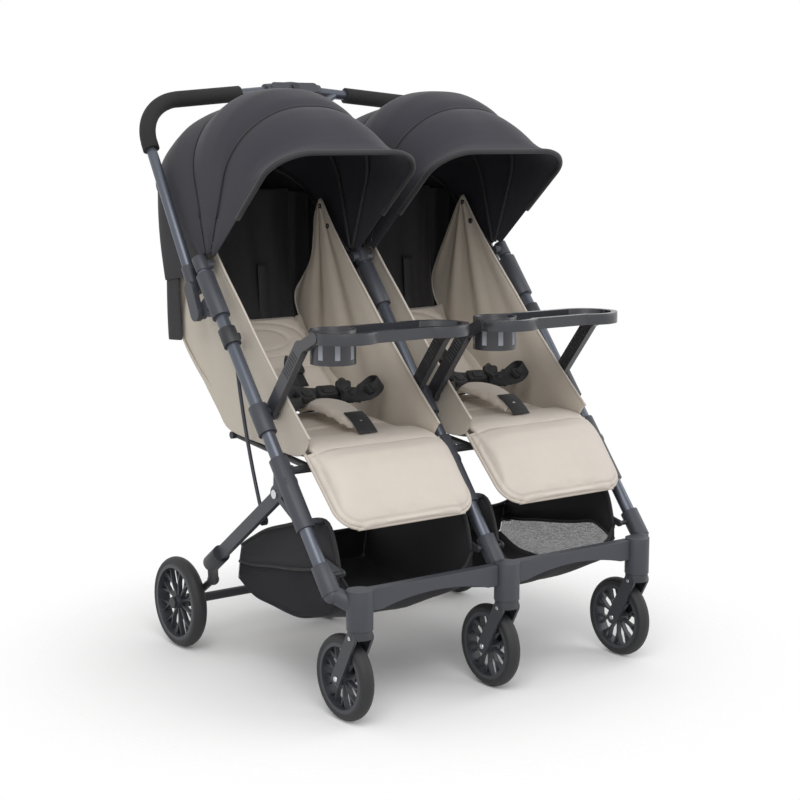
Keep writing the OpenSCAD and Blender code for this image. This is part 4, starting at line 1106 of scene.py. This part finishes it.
# A shoulder strap from the lining, behind the cushion's top and out again, as places back and up
SHOULDER_LINE = [(608, 742), (604, 690), (601, 652), (586, 618), (548, 574), (500, 549), (462, 514)]
for name, side in SIDES.items():
    centre = side * SEAT_X
    # Crotch strap, its sleeve and the buckle
    sleeve_line = smooth_line([(376, 486), (346, 500), (310, 506), (272, 503), (232, 492), (198, 478)], 22)
    stations = []
    for y, z, back, share in steps_along(sleeve_line):
        out = -back
        half = 20 + 14 * math.sin(math.pi * min(1, share * 1.05 + 0.04)) ** 0.7
        x = np.linspace(-half, half, 11)
        arch = 6 * (1 - (x / half) ** 2)
        front = np.stack([centre + x, y + out[0] * arch, z + out[1] * arch], 1)
        rear = np.stack([centre + x, y + out[0] * (arch - 13), z + out[1] * (arch - 13)], 1)
        stations.append((front, rear))
    sleeve = stuffed("crotch_sleeve_" + name, *block_mesh(stations), beige, 3)
    padded_cover(sleeve, "frame")
    tail = smooth_line([(centre, 226, 499), (centre, 206, 490), (centre, 188, 478), (centre, 176, 468)], 12)
    strap_parts = [ribbon_mesh(tail, 40, 2.4, (1, 0, 0))]
    buckle_turn = Matrix.Rotation(math.radians(-50), 3, "X")
    strap_parts.append(rounded_block(np.array((centre, 384, 497)), (46, 14, 42), buckle_turn, 9))
    strap_parts.append(rounded_block(np.array((centre, 379, 503)), (24, 9, 22), buckle_turn, 7))
    crotch = piece("crotch_strap_" + name, *join_meshes(strap_parts), webbing, "frame")
    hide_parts("crotch_straps")
    # Waist straps that lie in loose loops, with their buckles and adjusters
    waist = []
    wave = np.stack([np.sin(np.linspace(0, 7, 30)), np.full(30, 0.4), np.full(30, 1.3)], 1)
    for places in WAIST_LINES:
        line = smooth_line([(centre + x, y, z) for x, y, z in places], len(wave))
        waist.append(ribbon_mesh(line, STRAP_WIDE, STRAP_THICK, wave))
    for x, y, z, wide, high, tilt, yaw in WAIST_BUCKLES:
        turn = Matrix.Rotation(math.radians(yaw), 3, "Z") @ Matrix.Rotation(math.radians(tilt), 3, "X")
        waist.append(rounded_block(np.array((centre + x, y, z)), (wide, 11, high), turn, 6))
        latch = np.array((centre + x, y - 5, z + 3))
        waist.append(rounded_block(latch, (wide * 0.55, 8, high * 0.6), turn, 4))
    belts = piece("waist_straps_" + name, *join_meshes(waist), webbing, "frame")
    # Shoulder straps from the lining down to the buckle
    shoulder = []
    for way in (-1, 1):
        line = smooth_line([(centre + way * SHOULDER_X, y, z) for y, z in SHOULDER_LINE], 36)
        shoulder.append(ribbon_mesh(line, STRAP_WIDE, STRAP_THICK, (1, 0, 0)))
        turn = Matrix.Rotation(-0.75, 3, "X")
        shoulder.append(rounded_block(line[30] + (0, -2, 3), (34, 7, 26), turn, 6))
    straps = piece("shoulder_webbing_" + name, *join_meshes(shoulder), webbing, "backrest_" + name)
    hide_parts("shoulder_straps_" + name)

# Trays
# Grey moulded snack trays with a dish and a grooved cup holder, on two posts that swing on the frame's drums.
# Pale inlays fill the cup's grooves, and ribs give grip on the posts.
tray_plastic = finish_of("tray_moulding", fine_grain, (0.031, 0.032, 0.039), 0.33, 0.2, coat=0.2, Mottle=0.18)
pale_inlay = finish_of("pale_inlay", fine_grain, (0.34, 0.36, 0.40), 0.5, 0.2, Mottle=0.12)
dress(["tray_left", "tray_right"], tray_plastic, 0.003)
TRAY_FOOT = np.array((255.5, 511.1))
TRAY_HEAD = np.array((157.0, 634.0))
CUP = (-104, 132)
CUP_GROOVES = 8
INLAY_R = 39
INLAY_Z = 628.5
INLAY_SIZE = (9.4, 1, 26.4)
POST_X = 153.5
POST_FACE = 6.6
for name, side in SIDES.items():
    ribs = []
    way = (TRAY_HEAD - TRAY_FOOT) / np.linalg.norm(TRAY_HEAD - TRAY_FOOT)
    out = np.array((way[1], -way[0]))
    for post in (-1, 1):
        for step in np.linspace(92, 140, 8):
            spot = TRAY_FOOT + way * step
            for face in (-1, 1):
                x = side * SEAT_X + post * (POST_X + face * POST_FACE)
                line = [(x, *(spot + out * s)) for s in np.linspace(-9, 9, 5)]
                ribs.append(tube_mesh(line, 1.3, sides=6))
    piece("tray_ribs_" + name, *join_meshes(ribs), tray_plastic, "tray_body_" + name)
    stripes = []
    for groove_at in range(CUP_GROOVES):
        turn = 2 * math.pi * (groove_at + 0.5) / CUP_GROOVES
        spot = np.array((side * SEAT_X + CUP[0] + INLAY_R * math.cos(turn), CUP[1] + INLAY_R * math.sin(turn),
                         INLAY_Z))
        stripes.append(rounded_block(spot, INLAY_SIZE, Matrix.Rotation(turn - math.pi / 2, 3, "Z"), 0.8))
    piece("cup_inlays_" + name, *join_meshes(stripes), pale_inlay, "tray_body_" + name)
